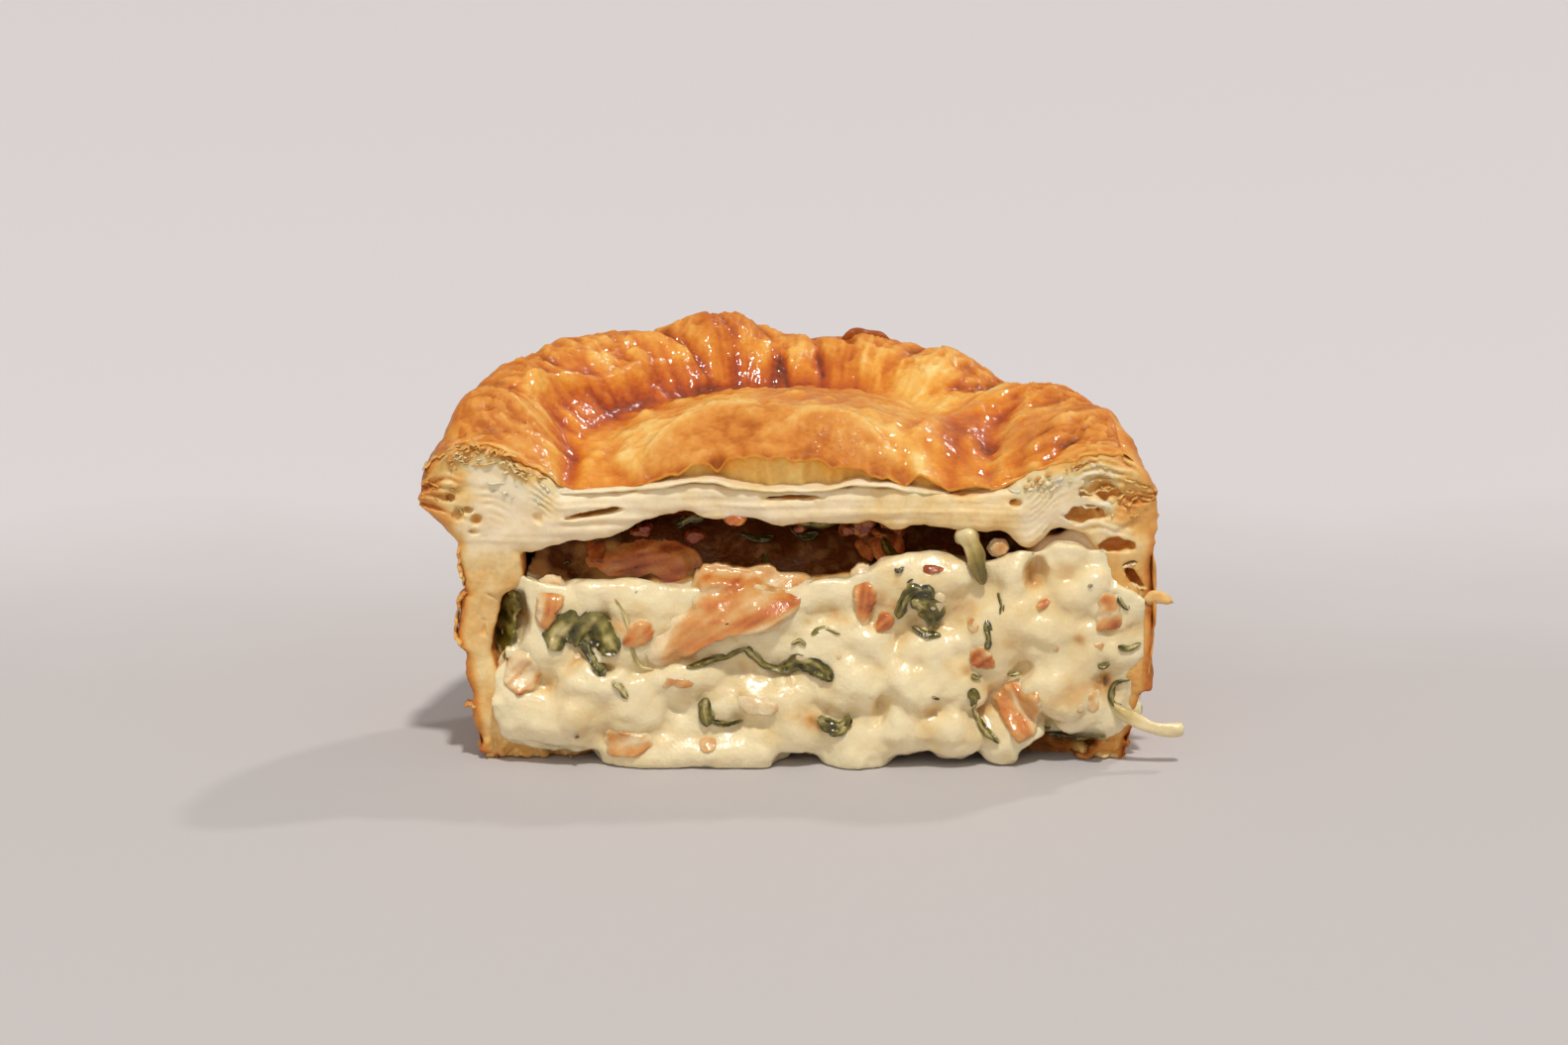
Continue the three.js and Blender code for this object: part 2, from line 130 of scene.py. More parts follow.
# Repeatable value noise from -1 to 1 on a turned grid, one cell every size millimetres
def noise(x, y, z, size, seed=0):
    total = 0.0
    cells = []
    axes = (0.8 * x + 0.48 * y + 0.36 * z, 0.64 * y - 0.6 * x + 0.48 * z, 0.8 * z - 0.6 * y)
    for value in np.broadcast_arrays(*axes):
        place = value / size
        base = np.floor(place).astype(np.int64)
        part = place - base
        cells.append((base, part * part * (3 - 2 * part)))
    (bx, fx), (by, fy), (bz, fz) = cells
    for i in (0, 1):
        for j in (0, 1):
            for k in (0, 1):
                weight = (fx if i else 1 - fx) * (fy if j else 1 - fy) * (fz if k else 1 - fz)
                total = total + weight * lattice(bx + i, by + j, bz + k, seed)
    return total


def lineNoise(place, size, seed):
    return noise(place, 0.0, 0.0, size, seed)


# Noise in ever finer layers, each half as strong as the one before
def layered(x, y, z, size, octaves, seed):
    total = 0.0
    for octave in range(octaves):
        total = total + noise(x, y, z, size / 2**octave, seed + 31 * octave) / 2**octave
    return total


def smoothMax(a, b, width):
    share = np.clip(0.5 + 0.5 * (a - b) / width, 0, 1)
    return mix(b, a, share) + width * share * (1 - share)


def smoothMin(a, b, width):
    return -smoothMax(-a, -b, width)


# Mean over a square window of a grid, edges repeated
def blurred(grid, reach):
    for axis in (0, 1):
        pad = [(0, 0), (0, 0)]
        pad[axis] = (reach + 1, reach)
        total = np.cumsum(np.pad(grid, pad, mode="edge"), axis=axis)
        high = np.take(total, range(2 * reach + 1, total.shape[axis]), axis=axis)
        low = np.take(total, range(0, total.shape[axis] - 2 * reach - 1), axis=axis)
        grid = (high - low) / (2 * reach + 1)
    return grid


# Quads over a grid of points, closed from its last row (axis 0) or column (axis 1) to its first on request
def gridFaces(rows, columns, closed=None):
    index = np.arange(rows * columns).reshape(rows, columns)
    if closed is not None:
        index = np.concatenate([index, index.take([0], axis=closed)], axis=closed)
    corners = [index[:-1, :-1], index[:-1, 1:], index[1:, 1:], index[1:, :-1]]
    return np.stack(corners, -1).reshape(-1, 4)


cellCorners = np.array([(i, j, k) for i in (0, 1) for j in (0, 1) for k in (0, 1)])
cellEdges = [
    (a, b) for a in range(8) for b in range(a + 1, 8) if np.abs(cellCorners[a] - cellCorners[b]).sum() == 1
]


# Places and quads of the zero level of a field over lists of grid places
def surfaceNet(field, *grids):
    nx, ny, nz = field.shape
    corners = [field[i : nx - 1 + i, j : ny - 1 + j, k : nz - 1 + k] for i, j, k in cellCorners]
    count = sum((corner < 0).astype(int) for corner in corners)
    active = (count > 0) & (count < 8)
    index = np.full(active.shape, -1)
    index[active] = np.arange(active.sum())
    total = np.zeros((active.sum(), 3))
    hits = np.zeros((active.sum(), 1))
    for a, b in cellEdges:
        low = corners[a][active]
        high = corners[b][active]
        crossed = (low < 0) != (high < 0)
        share = np.where(crossed, low / np.where(crossed, low - high, 1), 0)[:, None]
        total += crossed[:, None] * mix(cellCorners[a], cellCorners[b], share)
        hits += crossed[:, None]
    points = np.argwhere(active) + total / hits
    inside = field < 0
    faces = []
    for axis in range(3):
        turned = np.moveaxis(inside, axis, 0)
        cells = np.moveaxis(index, axis, 0)
        if axis == 1:
            turned = turned.swapaxes(1, 2)
            cells = cells.swapaxes(1, 2)
        crossed = np.argwhere(turned[:-1, 1:-1, 1:-1] != turned[1:, 1:-1, 1:-1])
        i, j, k = crossed[:, 0], crossed[:, 1] + 1, crossed[:, 2] + 1
        quads = np.stack([cells[i, j - 1, k - 1], cells[i, j, k - 1], cells[i, j, k], cells[i, j - 1, k]], -1)
        flipped = ~turned[i, j, k]
        quads[flipped] = quads[flipped][:, ::-1]
        faces.append(quads)
    x, y, z = (np.interp(place, np.arange(len(grid)), grid) for place, grid in zip(points.T, grids))
    return x, y, z, np.vstack(faces)


# A shape from its places, faces and masks, each mask a number or one value for each place
def shapeOf(x, y, z, faces, **masks):
    places = np.broadcast_arrays(x, y, z)
    spread = {name: np.broadcast_to(mask, places[0].shape).ravel() for name, mask in masks.items()}
    return {"points": np.stack(places, -1).reshape(-1, 3), "faces": faces, "masks": spread}


# One shape out of several
def joined(shapes):
    starts = np.cumsum([0] + [len(shape["points"]) for shape in shapes[:-1]])
    whole = {"points": np.vstack([shape["points"] for shape in shapes])}
    whole["faces"] = np.vstack([shape["faces"] + start for shape, start in zip(shapes, starts)])
    whole["masks"] = {
        name: np.concatenate([shape["masks"][name] for shape in shapes]) for name in shapes[0]["masks"]
    }
    return whole


def addPiece(name, shape, material, nodes=()):
    points = (shape["points"] + pieOrigin) / 1000
    faces = shape["faces"]
    mesh = bpy.data.meshes.new(name)
    mesh.vertices.add(len(points))
    mesh.vertices.foreach_set("co", points.astype(np.float32).ravel())
    mesh.loops.add(faces.size)
    mesh.loops.foreach_set("vertex_index", faces.astype(np.int32).ravel())
    mesh.polygons.add(len(faces))
    mesh.polygons.foreach_set("loop_start", np.arange(0, faces.size, 4, dtype=np.int32))
    mesh.polygons.foreach_set("use_smooth", np.ones(len(faces), dtype=bool))
    mesh.update(calc_edges=True)
    for maskName, values in shape["masks"].items():
        mask = mesh.attributes.new(maskName, "FLOAT", "POINT")
        mask.data.foreach_set("value", np.asarray(values, dtype=np.float32).ravel())
    mesh.materials.append(material)
    piece = bpy.data.objects.new(name, mesh)
    bpy.context.scene.collection.objects.link(piece)
    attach(piece, "root")
    if nodes:
        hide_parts(*nodes)


# Materials
def paint(red, green, blue):
    return [((v / 255 + 0.055) / 1.055) ** 2.4 if v > 10 else v / 3295 for v in (red, green, blue)] + [1.0]


def addNode(tree, kind, **settings):
    made = tree.nodes.new(kind)
    for key, value in settings.items():
        setattr(made, key, value)
    return made


def addRamp(tree, factor, stops):
    ramp = addNode(tree, "ShaderNodeValToRGB")
    elements = ramp.color_ramp.elements
    while len(elements) < len(stops):
        elements.new(0.5)
    for element, (place, colour) in zip(elements, stops):
        element.position = place
        element.color = paint(*colour)
    tree.links.new(factor, ramp.inputs["Fac"])
    return ramp.outputs["Color"]


# Noise in the piece's own place, one cell every size millimetres
def addNoise(tree, size, detail=3.0):
    coords = addNode(tree, "ShaderNodeTexCoord")
    made = addNode(tree, "ShaderNodeTexNoise")
    made.inputs["Scale"].default_value = 1000 / size
    made.inputs["Detail"].default_value = detail
    tree.links.new(coords.outputs["Object"], made.inputs["Vector"])
    return made.outputs["Fac"]


# value times gain plus shift, where value and shift may be sockets
def addScaled(tree, value, gain, shift):
    made = addNode(tree, "ShaderNodeMath", operation="MULTIPLY_ADD")
    tree.links.new(value, made.inputs[0])
    made.inputs[1].default_value = gain
    if isinstance(shift, (int, float)):
        made.inputs[2].default_value = shift
    else:
        tree.links.new(shift, made.inputs[2])
    return made.outputs[0]


def addMask(tree, name):
    return addNode(tree, "ShaderNodeAttribute", attribute_name=name).outputs["Fac"]


def newGroup(name, takes, gives):
    group = bpy.data.node_groups.new(name, "ShaderNodeTree")
    for socket in takes:
        group.interface.new_socket(socket, in_out="INPUT", socket_type="NodeSocketFloat")
    for socket, kind in gives:
        group.interface.new_socket(socket, in_out="OUTPUT", socket_type=kind)
    return group, addNode(group, "NodeGroupInput"), addNode(group, "NodeGroupOutput")


washedStops = [
    (0.0, (244, 224, 170)),
    (0.14, (240, 204, 122)),
    (0.3, (234, 172, 72)),
    (0.48, (218, 134, 34)),
    (0.64, (200, 102, 20)),
    (0.8, (168, 68, 12)),
    (1.0, (92, 36, 10)),
]
plainStops = [
    (0.0, (240, 220, 184)),
    (0.14, (232, 203, 146)),
    (0.3, (226, 175, 98)),
    (0.48, (213, 143, 65)),
    (0.64, (191, 111, 43)),
    (0.8, (152, 84, 34)),
    (1.0, (92, 48, 22)),
]


# Oven browning and painted shade shared by every pastry material, with and without egg wash
def browningAndShadeGroup():
    group, given, result = newGroup(
        "browningAndPaintedShade", ["Bake", "Wash"], [("Color", "NodeSocketColor"), ("Height", "NodeSocketFloat")]
    )
    patches = addNoise(group, 4.5)
    specks = addNoise(group, 0.8)
    ripples = addNoise(group, 1.1)
    bake = addScaled(group, patches, 0.26, addScaled(group, given.outputs["Bake"], 1.0, -0.13))
    bake = addScaled(group, specks, 0.2, addScaled(group, bake, 1.0, -0.1))
    blend = addNode(group, "ShaderNodeMix", data_type="RGBA")
    group.links.new(given.outputs["Wash"], blend.inputs["Factor"])
    group.links.new(addRamp(group, bake, plainStops), blend.inputs[6])
    group.links.new(addRamp(group, bake, washedStops), blend.inputs[7])
    group.links.new(blend.outputs[2], result.inputs["Color"])
    group.links.new(ripples, result.inputs["Height"])
    return group


# Fine wet unevenness shared by the moist materials
def wetGroup():
    group, given, result = newGroup(
        "wetSkin", ["Dry"], [("Roughness", "NodeSocketFloat"), ("Height", "NodeSocketFloat")]
    )
    drops = addNoise(group, 1.1)
    rough = addScaled(group, drops, 0.3, addScaled(group, given.outputs["Dry"], 0.4, 0.02))
    group.links.new(rough, result.inputs["Roughness"])
    group.links.new(addNoise(group, 0.7, 2.0), result.inputs["Height"])
    return group


def newMaterial(name, **values):
    material = bpy.data.materials.new(name)
    material.use_nodes = True
    tree = material.node_tree
    shader = tree.nodes["Principled BSDF"]
    for socket, value in values.items():
        shader.inputs[socket.replace("_", " ")].default_value = value
    return material, tree, shader


def addBump(tree, normal, height, strength, depth):
    bump = addNode(tree, "ShaderNodeBump")
    bump.inputs["Strength"].default_value = strength
    bump.inputs["Distance"].default_value = depth / 1000
    tree.links.new(height, bump.inputs["Height"])
    tree.links.new(bump.outputs["Normal"], normal)


browningAndShade = browningAndShadeGroup()
wetness = wetGroup()


def pastryMaterial(name, washed, strength, **values):
    material, tree, shader = newMaterial(name, **values)
    group = addNode(tree, "ShaderNodeGroup", node_tree=browningAndShade)
    tree.links.new(addMask(tree, "bake"), group.inputs["Bake"])
    tree.links.new(group.outputs["Color"], shader.inputs["Base Color"])
    addBump(tree, shader.inputs["Normal"], group.outputs["Height"], strength, 0.35)
    if washed:
        addBump(tree, shader.inputs["Coat Normal"], addNoise(tree, 2.0, 2.0), 0.9, 0.5)
        wash = addMask(tree, "wash")
        tree.links.new(wash, group.inputs["Wash"])
        tree.links.new(wash, shader.inputs["Coat Weight"])
    return material


def moistMaterial(name, mask, stops, strength, **values):
    material, tree, shader = newMaterial(name, **values)
    group = addNode(tree, "ShaderNodeGroup", node_tree=wetness)
    tree.links.new(addMask(tree, "dry"), group.inputs["Dry"])
    tint = addScaled(tree, addNoise(tree, 2.2), 0.3, addScaled(tree, addMask(tree, mask), 1.0, -0.15))
    tree.links.new(addRamp(tree, tint, stops), shader.inputs["Base Color"])
    tree.links.new(group.outputs["Roughness"], shader.inputs["Roughness"])
    addBump(tree, shader.inputs["Normal"], group.outputs["Height"], strength, 0.3)
    addBump(tree, shader.inputs["Coat Normal"], addNoise(tree, 0.7, 2.0), strength, 0.3)
    return material


softGlow = {"Subsurface_Radius": (1.0, 0.55, 0.25), "Subsurface_Scale": 0.0022}
crustPaint = pastryMaterial(
    "eggWashedCrust", True, 0.8, Roughness=0.5, Specular_IOR_Level=0.1, Coat_Roughness=0.1, Coat_IOR=1.42,
    Subsurface_Weight=0.25, Subsurface_Radius=(1.0, 0.42, 0.12), Subsurface_Scale=0.002
)
doughPaint = pastryMaterial("layeredDough", False, 0.3, Roughness=0.5, Subsurface_Weight=0.3, **softGlow)
casePaint = pastryMaterial("caseCrust", False, 0.5, Roughness=0.6, Subsurface_Weight=0.12, **softGlow)
# Sauce colours from pale cream to the dark brown of painted shade
sauceStops = [
    (0.0, (238, 221, 178)),
    (0.4, (229, 203, 148)),
    (0.72, (208, 156, 88)),
    (1.0, (84, 38, 8)),
]
saucePaint = moistMaterial(
    "creamSauce", "crease", sauceStops, 0.4,
    Coat_Weight=0.7, Coat_Roughness=0.05, Subsurface_Weight=0.3, **softGlow
)
baconStops = [
    (0.0, (146, 66, 28)),
    (0.28, (200, 116, 56)),
    (0.5, (210, 147, 80)),
    (0.7, (218, 172, 113)),
    (0.85, (228, 198, 152)),
    (1.0, (232, 212, 168)),
]
baconPaint = moistMaterial(
    "cookedBacon", "fat", baconStops, 0.4,
    Coat_Weight=0.3, Coat_Roughness=0.12, Subsurface_Weight=0.2, **softGlow
)
leafStops = [(0.0, (54, 48, 6)), (0.3, (104, 94, 28)), (0.6, (158, 142, 74)), (1.0, (214, 196, 142))]
leafPaint = moistMaterial("wetSpinach", "light", leafStops, 0.8, Coat_Weight=0.7, Coat_Roughness=0.1)
stemStops = [(0.0, (96, 82, 30)), (0.3, (160, 138, 70)), (0.62, (212, 190, 128)), (1.0, (232, 216, 174))]
stemPaint = moistMaterial(
    "paleStem", "light", stemStops, 0.3, Coat_Weight=0.3, Subsurface_Weight=0.25, **softGlow
)
print("materials made")

# Line of the arch over the bubble at the lid's front, across and back
archLine = [(-27, -2), (-22, 3.3), (-18.6, 6.8), (-15, 10.6), (-11.6, 12.8), (-5.6, 12.4), (0, 10),
            (4, 8.2), (9, 7), (13.2, 4.3), (17, 1.3), (22, -2)]
# Lid. The crest's height runs over the half turn from the right end of the cut to the left end
lid = {
    "crestRadius": 47.5,
    "crest": [47.8, 52.2, 52.6, 50.9, 55.5, 57, 56.4, 60.0, 58.2, 58.8, 57.2, 55.6, 49.5],
    "valley": 42.8,
    "sag": 5.2,
    "sagDepth": 8.0,
    "backRise": 2.0,
    "domeRise": 5.9,
    "domeEdge": [24, 26, 29, 31.5, 34, 35.5, 36, 36, 35, 33.5, 32, 29, 24],
    "rimFoot": [31, 31.5, 32, 33, 34.5, 35.5, 36, 36, 35.5, 35, 34, 33.5, 33],
    "topRadius": 50.0,
    "skin": 0.6,
    "valleyBake": [0.54, 0.52, 0.48, 0.42, 0.42, 0.54, 0.6, 0.62, 0.66, 0.68, 0.62, 0.54, 0.5],
    "columns": 300,
    "rows": 136,
    "sideRows": 39,
    "bulge": (56.6, 40.5),
    "lip": (52.4, 34.6),
    "bubbleDepth": 2.4,
    "ceiling": {"halfWidth": 41.5, "front": 4.0, "depth": 37.5, "height": 37.4, "fall": 3.2},
    # Folds of the rim: angle, slant per millimetre of radius, groove depth and width, step of the overlap
    "folds": [
        (163, 0.3, 0.3, 1.6, 0.2),
        (147, 0.5, 0.5, 1.4, 0.4),
        (133, 0.9, 0.35, 1.2, 0.4),
        (118, 0.7, 0.8, 1.3, 1.3),
        (107, 0.9, 0.3, 1.4, 0.3),
        (96, 0.6, 0.6, 1.3, 0.4),
        (86.5, 0.4, 0.4, 1.3, 0.5),
        (64.6, -0.5, 0.5, 1.6, 0.5),
        (46.7, -0.8, 0.7, 1.8, 0.9),
        (24, -0.5, 0.4, 1.8, 0.3),
    ],
    # Ridges and valleys: corners across and back, height, width on the line's left and on its right
    "ridges": [
        (archLine, 1.3, 1.2, 4.0),
        ([(37, 30), (29, 23), (24, 16), (18, 5)], 1.7, 6.0, 0.9),
        ([(37, 25), (34.5, 20), (32.2, 13.7), (30.2, 6.6), (29.2, -1)], -1.1, 1.5, 2.4),
        ([(-34, 25), (-35, 13.3), (-33.6, 8), (-32.9, -2)], -1.2, 1.8, 2.6),
        ([(-43, 15), (-38.4, 18.9), (-33.8, 22.2), (-30, 24.9), (-24.9, 30.2), (-21, 36)], 1.3, 1.1, 1.8),
        ([(-39, 23.6), (-34, 27.6), (-29, 31.6), (-24, 36.6)], -1.2, 2.2, 2.2),
        ([(-12, 34), (-13, 39), (-14, 46)], 1.2, 2.4, 2.0),
        ([(43, 12), (40, 7), (35, 5)], 0.8, 1.6, 1.2),
        ([(46, 8), (42, 4.6), (37, 1)], -0.7, 0.8, 0.8),
    ],
    # Places that baked darker (above 0) or stayed paler: across, back, reach, amount. Two pale spots on the
    # right valley are a painted highlight
    "tones": [
        (-32, 17, 4.6, 0.06),
        (-28, 23.2, 4.6, 0.1),
        (-23.5, 28.4, 4.6, 0.06),
        (-33, 8, 2.6, 0.08),
        (-29, 31, 4.0, -0.2),
        (-16.4, 38, 2.6, -0.2),
        (-25, 12, 6.0, -0.18),
        (-9, 20, 6.0, -0.16),
        (4, 29, 8.0, 0.12),
        (20, 34, 6.0, -0.16),
        (21, 26, 5.0, -0.14),
        (17, 16, 5.0, -0.12),
        (27, 15, 5.0, 0.18),
        (29, 20, 4.0, 0.1),
        # Painted highlight: the pale spots on this line and the next follow the right valley
        (32.4, 14, 1.8, -0.22),
        (30.4, 6, 1.8, -0.24),
        (39, 6, 4.0, 0.22),
        (-2.5, 39.4, 2.2, 0.22),
        (5.5, 40, 2.4, 0.14),
        (-13.4, 36, 2.2, 0.12),
        (-11, 43, 5.0, 0.24),
        (26, 9, 6.0, 0.15),
    ],
    # Torn front edge over the bubble, across and up, and flaps that hang from it: across, drop, width
    "tornEdge": [(-26, 42.4), (-19, 44.6), (-14.8, 46.4), (-9, 47.3), (-3, 48), (4.3, 47), (10, 45.8),
                 (14.8, 44.2), (18, 42.9), (21, 42.4)],
    "tornFlaps": [(-10.9, 1.6, 0.9), (0.4, 0.6, 0.8), (6.4, 0.7, 0.9), (12.4, 0.4, 0.7), (-16.6, 0.5, 0.8)],
    # Blisters: how many, and ranges of their angle, radius, size and rise
    "blisterCount": 150,
    "blisterRanges": [(0, math.pi), (28, 46), (0.5, 1.5), (0.1, 0.4)],
}


# Height offset of the folds and how deep in a groove each place is
def foldRelief(x, y):
    radius = np.hypot(x, y)
    turn = np.degrees(np.arctan2(np.maximum(y, 0.0), x))
    offset = np.zeros_like(radius)
    groove = np.zeros_like(radius)
    onRim = smooth(33, 42, radius)
    for angle, slant, depth, width, step in lid["folds"]:
        wander = 0.9 * noise(radius, angle, 0.0, 5.0, 7)
        away = np.radians(turn - angle - slant * (radius - lid["crestRadius"])) * radius + wander
        line = bell(away, 0.0, width) * onRim
        lap = step * smooth(-0.5, 0.6, away) * np.exp(-np.maximum(away, 0) / 6.0) * onRim
        offset = offset + lap - depth * line
        groove = np.maximum(groove, line * min(1.0, depth))
    wander = 0.7 * noise(x, y, 0.0, 5.0, 9)
    for corners, height, left, right in lid["ridges"]:
        away, share = lineReach(x, y, corners)
        away = away + wander
        ends = smooth(0.0, 0.16, share) * smooth(1.0, 0.84, share)
        offset = offset + height * ends * np.where(away > 0, bell(away, 0, left), bell(away, 0, right))
    return offset, groove


def lidHeight(x, y):
    depth = np.maximum(y, 0.0)
    radius = np.hypot(x, depth)
    turn = np.arctan2(depth, x) / math.pi
    floor = lid["valley"] + lid["sag"] * (1 - np.exp(-depth / lid["sagDepth"]))
    floor = floor + lid["backRise"] * smooth(8, 40, depth)
    dome = lid["domeRise"] * np.maximum(0, 1 - (radius / along(lid["domeEdge"], turn)) ** 2.6)
    crest = along(lid["crest"], turn) - floor
    foot = along(lid["rimFoot"], turn)
    climb = np.sin(0.5 * math.pi * np.clip((radius - foot) / (lid["crestRadius"] - foot), 0, 1)) ** 1.25
    fall = np.clip((radius - lid["crestRadius"]) / 7, 0, 1)
    rim = crest * np.where(radius < lid["crestRadius"], climb, 1 - 0.5 * fall**2)
    return floor + smoothMax(dome, rim, 0.9), dome, rim


pick = np.random.default_rng(12)
blisters = np.column_stack(
    [pick.uniform(low, high, lid["blisterCount"]) for low, high in lid["blisterRanges"]]
)


def lidRelief(x, y, height):
    radius = np.hypot(x, y)
    turn = np.arctan2(np.maximum(y, 0), x)
    offset, groove = foldRelief(x, y)
    warp = 1.2 * noise(x, y, 0.0, 6.0, 4)
    streak = noise(radius / 8, turn * 26 + warp, 0.0, 1.0, 3)
    streak = streak + 0.6 * noise(radius / 5, turn * 60 + warp, 0.0, 1.0, 5)
    streak = streak * smooth(26, 36, radius) * smooth(51, 47, radius)
    calm = 1 - 0.65 * bell(radius, 37, 6)
    offset = offset + 0.18 * streak
    offset = offset + calm * (0.6 * noise(x, y, height, 9.0, 10) + 0.26 * layered(x, y, height, 4.2, 4, 11))
    flaky = 0.1 + 0.24 * bell(radius, 46, 6)
    offset = offset - 1.2 * flaky
    for seed, level in ((14, 0.1), (15, 0.3), (16, 0.2), (18, 0.0)):
        peel = layered(x, y, height, 7.0, 4, seed) - level
        offset = offset + flaky * smooth(0.0, 0.05, peel) * smooth(0.9, 0.2, peel)
    for angle, place, size, rise in blisters:
        offset = offset + rise * spot(x, y, place * math.cos(angle), place * math.sin(angle), size)
    return offset, groove, streak


# The ragged front line of the skin along the cut
def tornLine(x):
    torn = 0.9 * lineNoise(x, 3.4, 41) + 0.7 * lineNoise(x, 1.2, 42)
    ends = 0.5 + lineNoise(x, 2.2, 44) + 0.7 * lineNoise(x, 0.9, 46)
    return smooth(27, 20, np.abs(x + 2)) * torn + smooth(31, 35, np.abs(x)) * ends + 0.3


# The lid's upper face, a grid from the cut to the back of the rim
def lidTop():
    s = np.linspace(-1, 1, lid["columns"])[None, :]
    t = np.linspace(0, 1, lid["rows"])[:, None] ** 1.15
    x = lid["topRadius"] * s * np.sqrt(1 - t * t / 2)
    y = lid["topRadius"] * t * np.sqrt(1 - s * s / 2)
    z, dome, rim = lidHeight(x, y)
    offset, groove, streak = lidRelief(x, y, z)
    onDome = smooth(-0.5, 1.5, dome - rim)
    torn = smooth(-25, -21, x) * smooth(20, 17, x)
    droop = curveAt(lid["tornEdge"], x) - lidHeight(x, 0 * x)[0]
    ragged = 0.35 * layered(x, 0.0, 0.0, 1.8, 2, 43)
    ragged = ragged - sum(drop * bell(x, at, width) for at, drop, width in lid["tornFlaps"])
    z = z + offset * mix(1.0, smooth(0, 3, y), torn)
    z = z + torn * (droop * np.exp(-((y / 5) ** 2)) + ragged * np.exp(-y / 0.8))
    z = z + 0.3 * onDome * layered(x, y, 0.0, 2.6, 3, 48) * smooth(0, 2, y)
    hollow = blurred(z, 7) - z
    radius = np.hypot(x, y)
    turn = np.arctan2(y, x) / math.pi
    behind, share = lineReach(x, y, archLine)
    steep = np.clip(np.hypot(*np.gradient(blurred(z, 1))) * 1.4, 0, 1)
    inValley = bell(radius, 36, 7) * (1 - onDome)
    crestTop = bell(radius, lid["crestRadius"], 4)
    flap = smooth(0.6, -0.8, behind) * smooth(0.0, 0.1, share) * smooth(1.0, 0.9, share)
    bake = 0.5 + 0.13 * crestTop + 0.36 * np.clip(hollow, -0.4, 0.7) + 0.1 * groove
    bake = bake + inValley * (along(lid["valleyBake"], turn) - 0.5)
    bake = bake - 0.12 * streak * bell(radius, 42, 6) - 0.08 * steep
    fringe = np.exp(-y / 2.2) * smooth(31, 35, np.abs(x))
    bake = bake - 0.14 * fringe * (1 + 0.6 * noise(x, y, z, 1.6, 49))
    mottled = layered(x, y, z, 3.2, 3, 50)
    bake = bake + (0.07 + 0.09 * mottled) * flap - 0.18 * onDome * bell(behind, 2.5, 2.5)
    for spotX, spotY, reach, amount in lid["tones"]:
        bake = bake + amount * spot(x, y, spotX, spotY, reach)
    wash = 0.7 - 0.5 * crestTop - 0.8 * flap + 0.3 * inValley - 0.8 * fringe + 0.2 * noise(x, y, z, 5.0, 45)
    wash = wash - 0.5 * spot(x, y, 38, 8, 7.07) - 0.6 * spot(x, y, -42, 6, 6.32)
    wash = np.clip(wash + 0.5 * bell(x, -33, 2.4) * smooth(14, 6, y), 0.06, 1)
    y = y + tornLine(x) * np.exp(-y / 1.2)
    return shapeOf(x, y, z, gridFaces(*x.shape), bake=bake, wash=wash)


# The rim's outer side, from the top's edge down to the lip on the wall
def lidSide(edge):
    angle = np.arctan2(edge[:, 1], edge[:, 0])
    share = np.linspace(0, 1, lid["sideRows"] + 1)[1:, None]
    startRadius = np.hypot(edge[:, 0], edge[:, 1])
    startHeight = edge[:, 2]
    lobe = 0.8 * lineNoise(angle * arcScale, 9.0, 17)
    corners = [
        (startRadius, startHeight),
        (startRadius + 3.4, startHeight - 0.8),
        (lid["bulge"][0] + lobe, lid["bulge"][1]),
        (lid["lip"][0] + caseShift * np.cos(angle), lid["lip"][1]),
    ]
    weights = [(1 - share) ** 3, 3 * share * (1 - share) ** 2, 3 * share**2 * (1 - share), share**3]
    ring, level = (sum(weight * corner[k] for weight, corner in zip(weights, corners)) for k in (0, 1))
    layers = noise(angle * 4, level / 0.75, 0.0, 1.0, 19) * smooth(0.15, 0.5, share)
    grain = layered(ring * np.cos(angle), ring * np.sin(angle), level, 3.0, 3, 23)
    endward = np.exp(-np.minimum(angle, math.pi - angle) * arcScale / 3)
    ring = ring + 0.42 * layers + 0.3 * grain - 1.3 * share * endward
    bake = 0.56 + 0.1 * layers + 0.12 * grain - 0.2 * smooth(0.5, 1, share) - 0.16 * endward
    wash = 0.3 * (1 - share)
    faces = gridFaces(*ring.shape)[:, ::-1]
    return shapeOf(ring * np.cos(angle), ring * np.sin(angle), level, faces, bake=bake, wash=wash)


# The underside at the cut: the torn edge, then the ceiling of the bubble
def lidUnder(edge):
    x, y, z = edge.T
    deep = lid["bubbleDepth"]
    depths = np.concatenate([[-0.2, 0.05], np.linspace(0.4, deep, 14)])[:, None]
    lowest = curveAt(cut["sheetTop"], x) - 0.2
    room = np.maximum(z - lid["skin"] - lowest, 0.0)
    ceiling = lowest + room * np.sqrt(np.clip(1 - (depths / deep) ** 2, 0, 1))
    ceiling[0] = z - 0.45 * lid["skin"]
    # The bubble's ceiling is painted darker by the torn edge and paler deeper in: painted light standing in
    # for light through the thin skin
    bake = mix(0.4, 0.18, depths / deep) + 0.05 * noise(x, depths, 0.0, 3.0, 47)
    return shapeOf(x, y + depths, ceiling, gridFaces(*ceiling.shape)[:, ::-1], bake=bake, wash=1.0)


def lidSkin():
    top = lidTop()
    index = np.arange(len(top["points"])).reshape(lid["rows"], lid["columns"])
    border = np.concatenate([index[:-1, -1], index[-1, ::-1], index[-2::-1, 0]])
    side = lidSide(top["points"][border])
    whole = joined([top, side, lidUnder(top["points"][index[0]])])
    sideStart = len(top["points"]) + np.arange(len(border))
    hem = len(top["points"]) + len(side["points"]) + index[0]
    stitch = np.stack([sideStart[:-1], sideStart[1:], border[1:], border[:-1]], -1)
    turnUnder = np.stack([index[0, :-1], hem[:-1], hem[1:], index[0, 1:]], -1)
    whole["faces"] = np.vstack([whole["faces"], stitch, turnUnder])
    return whole


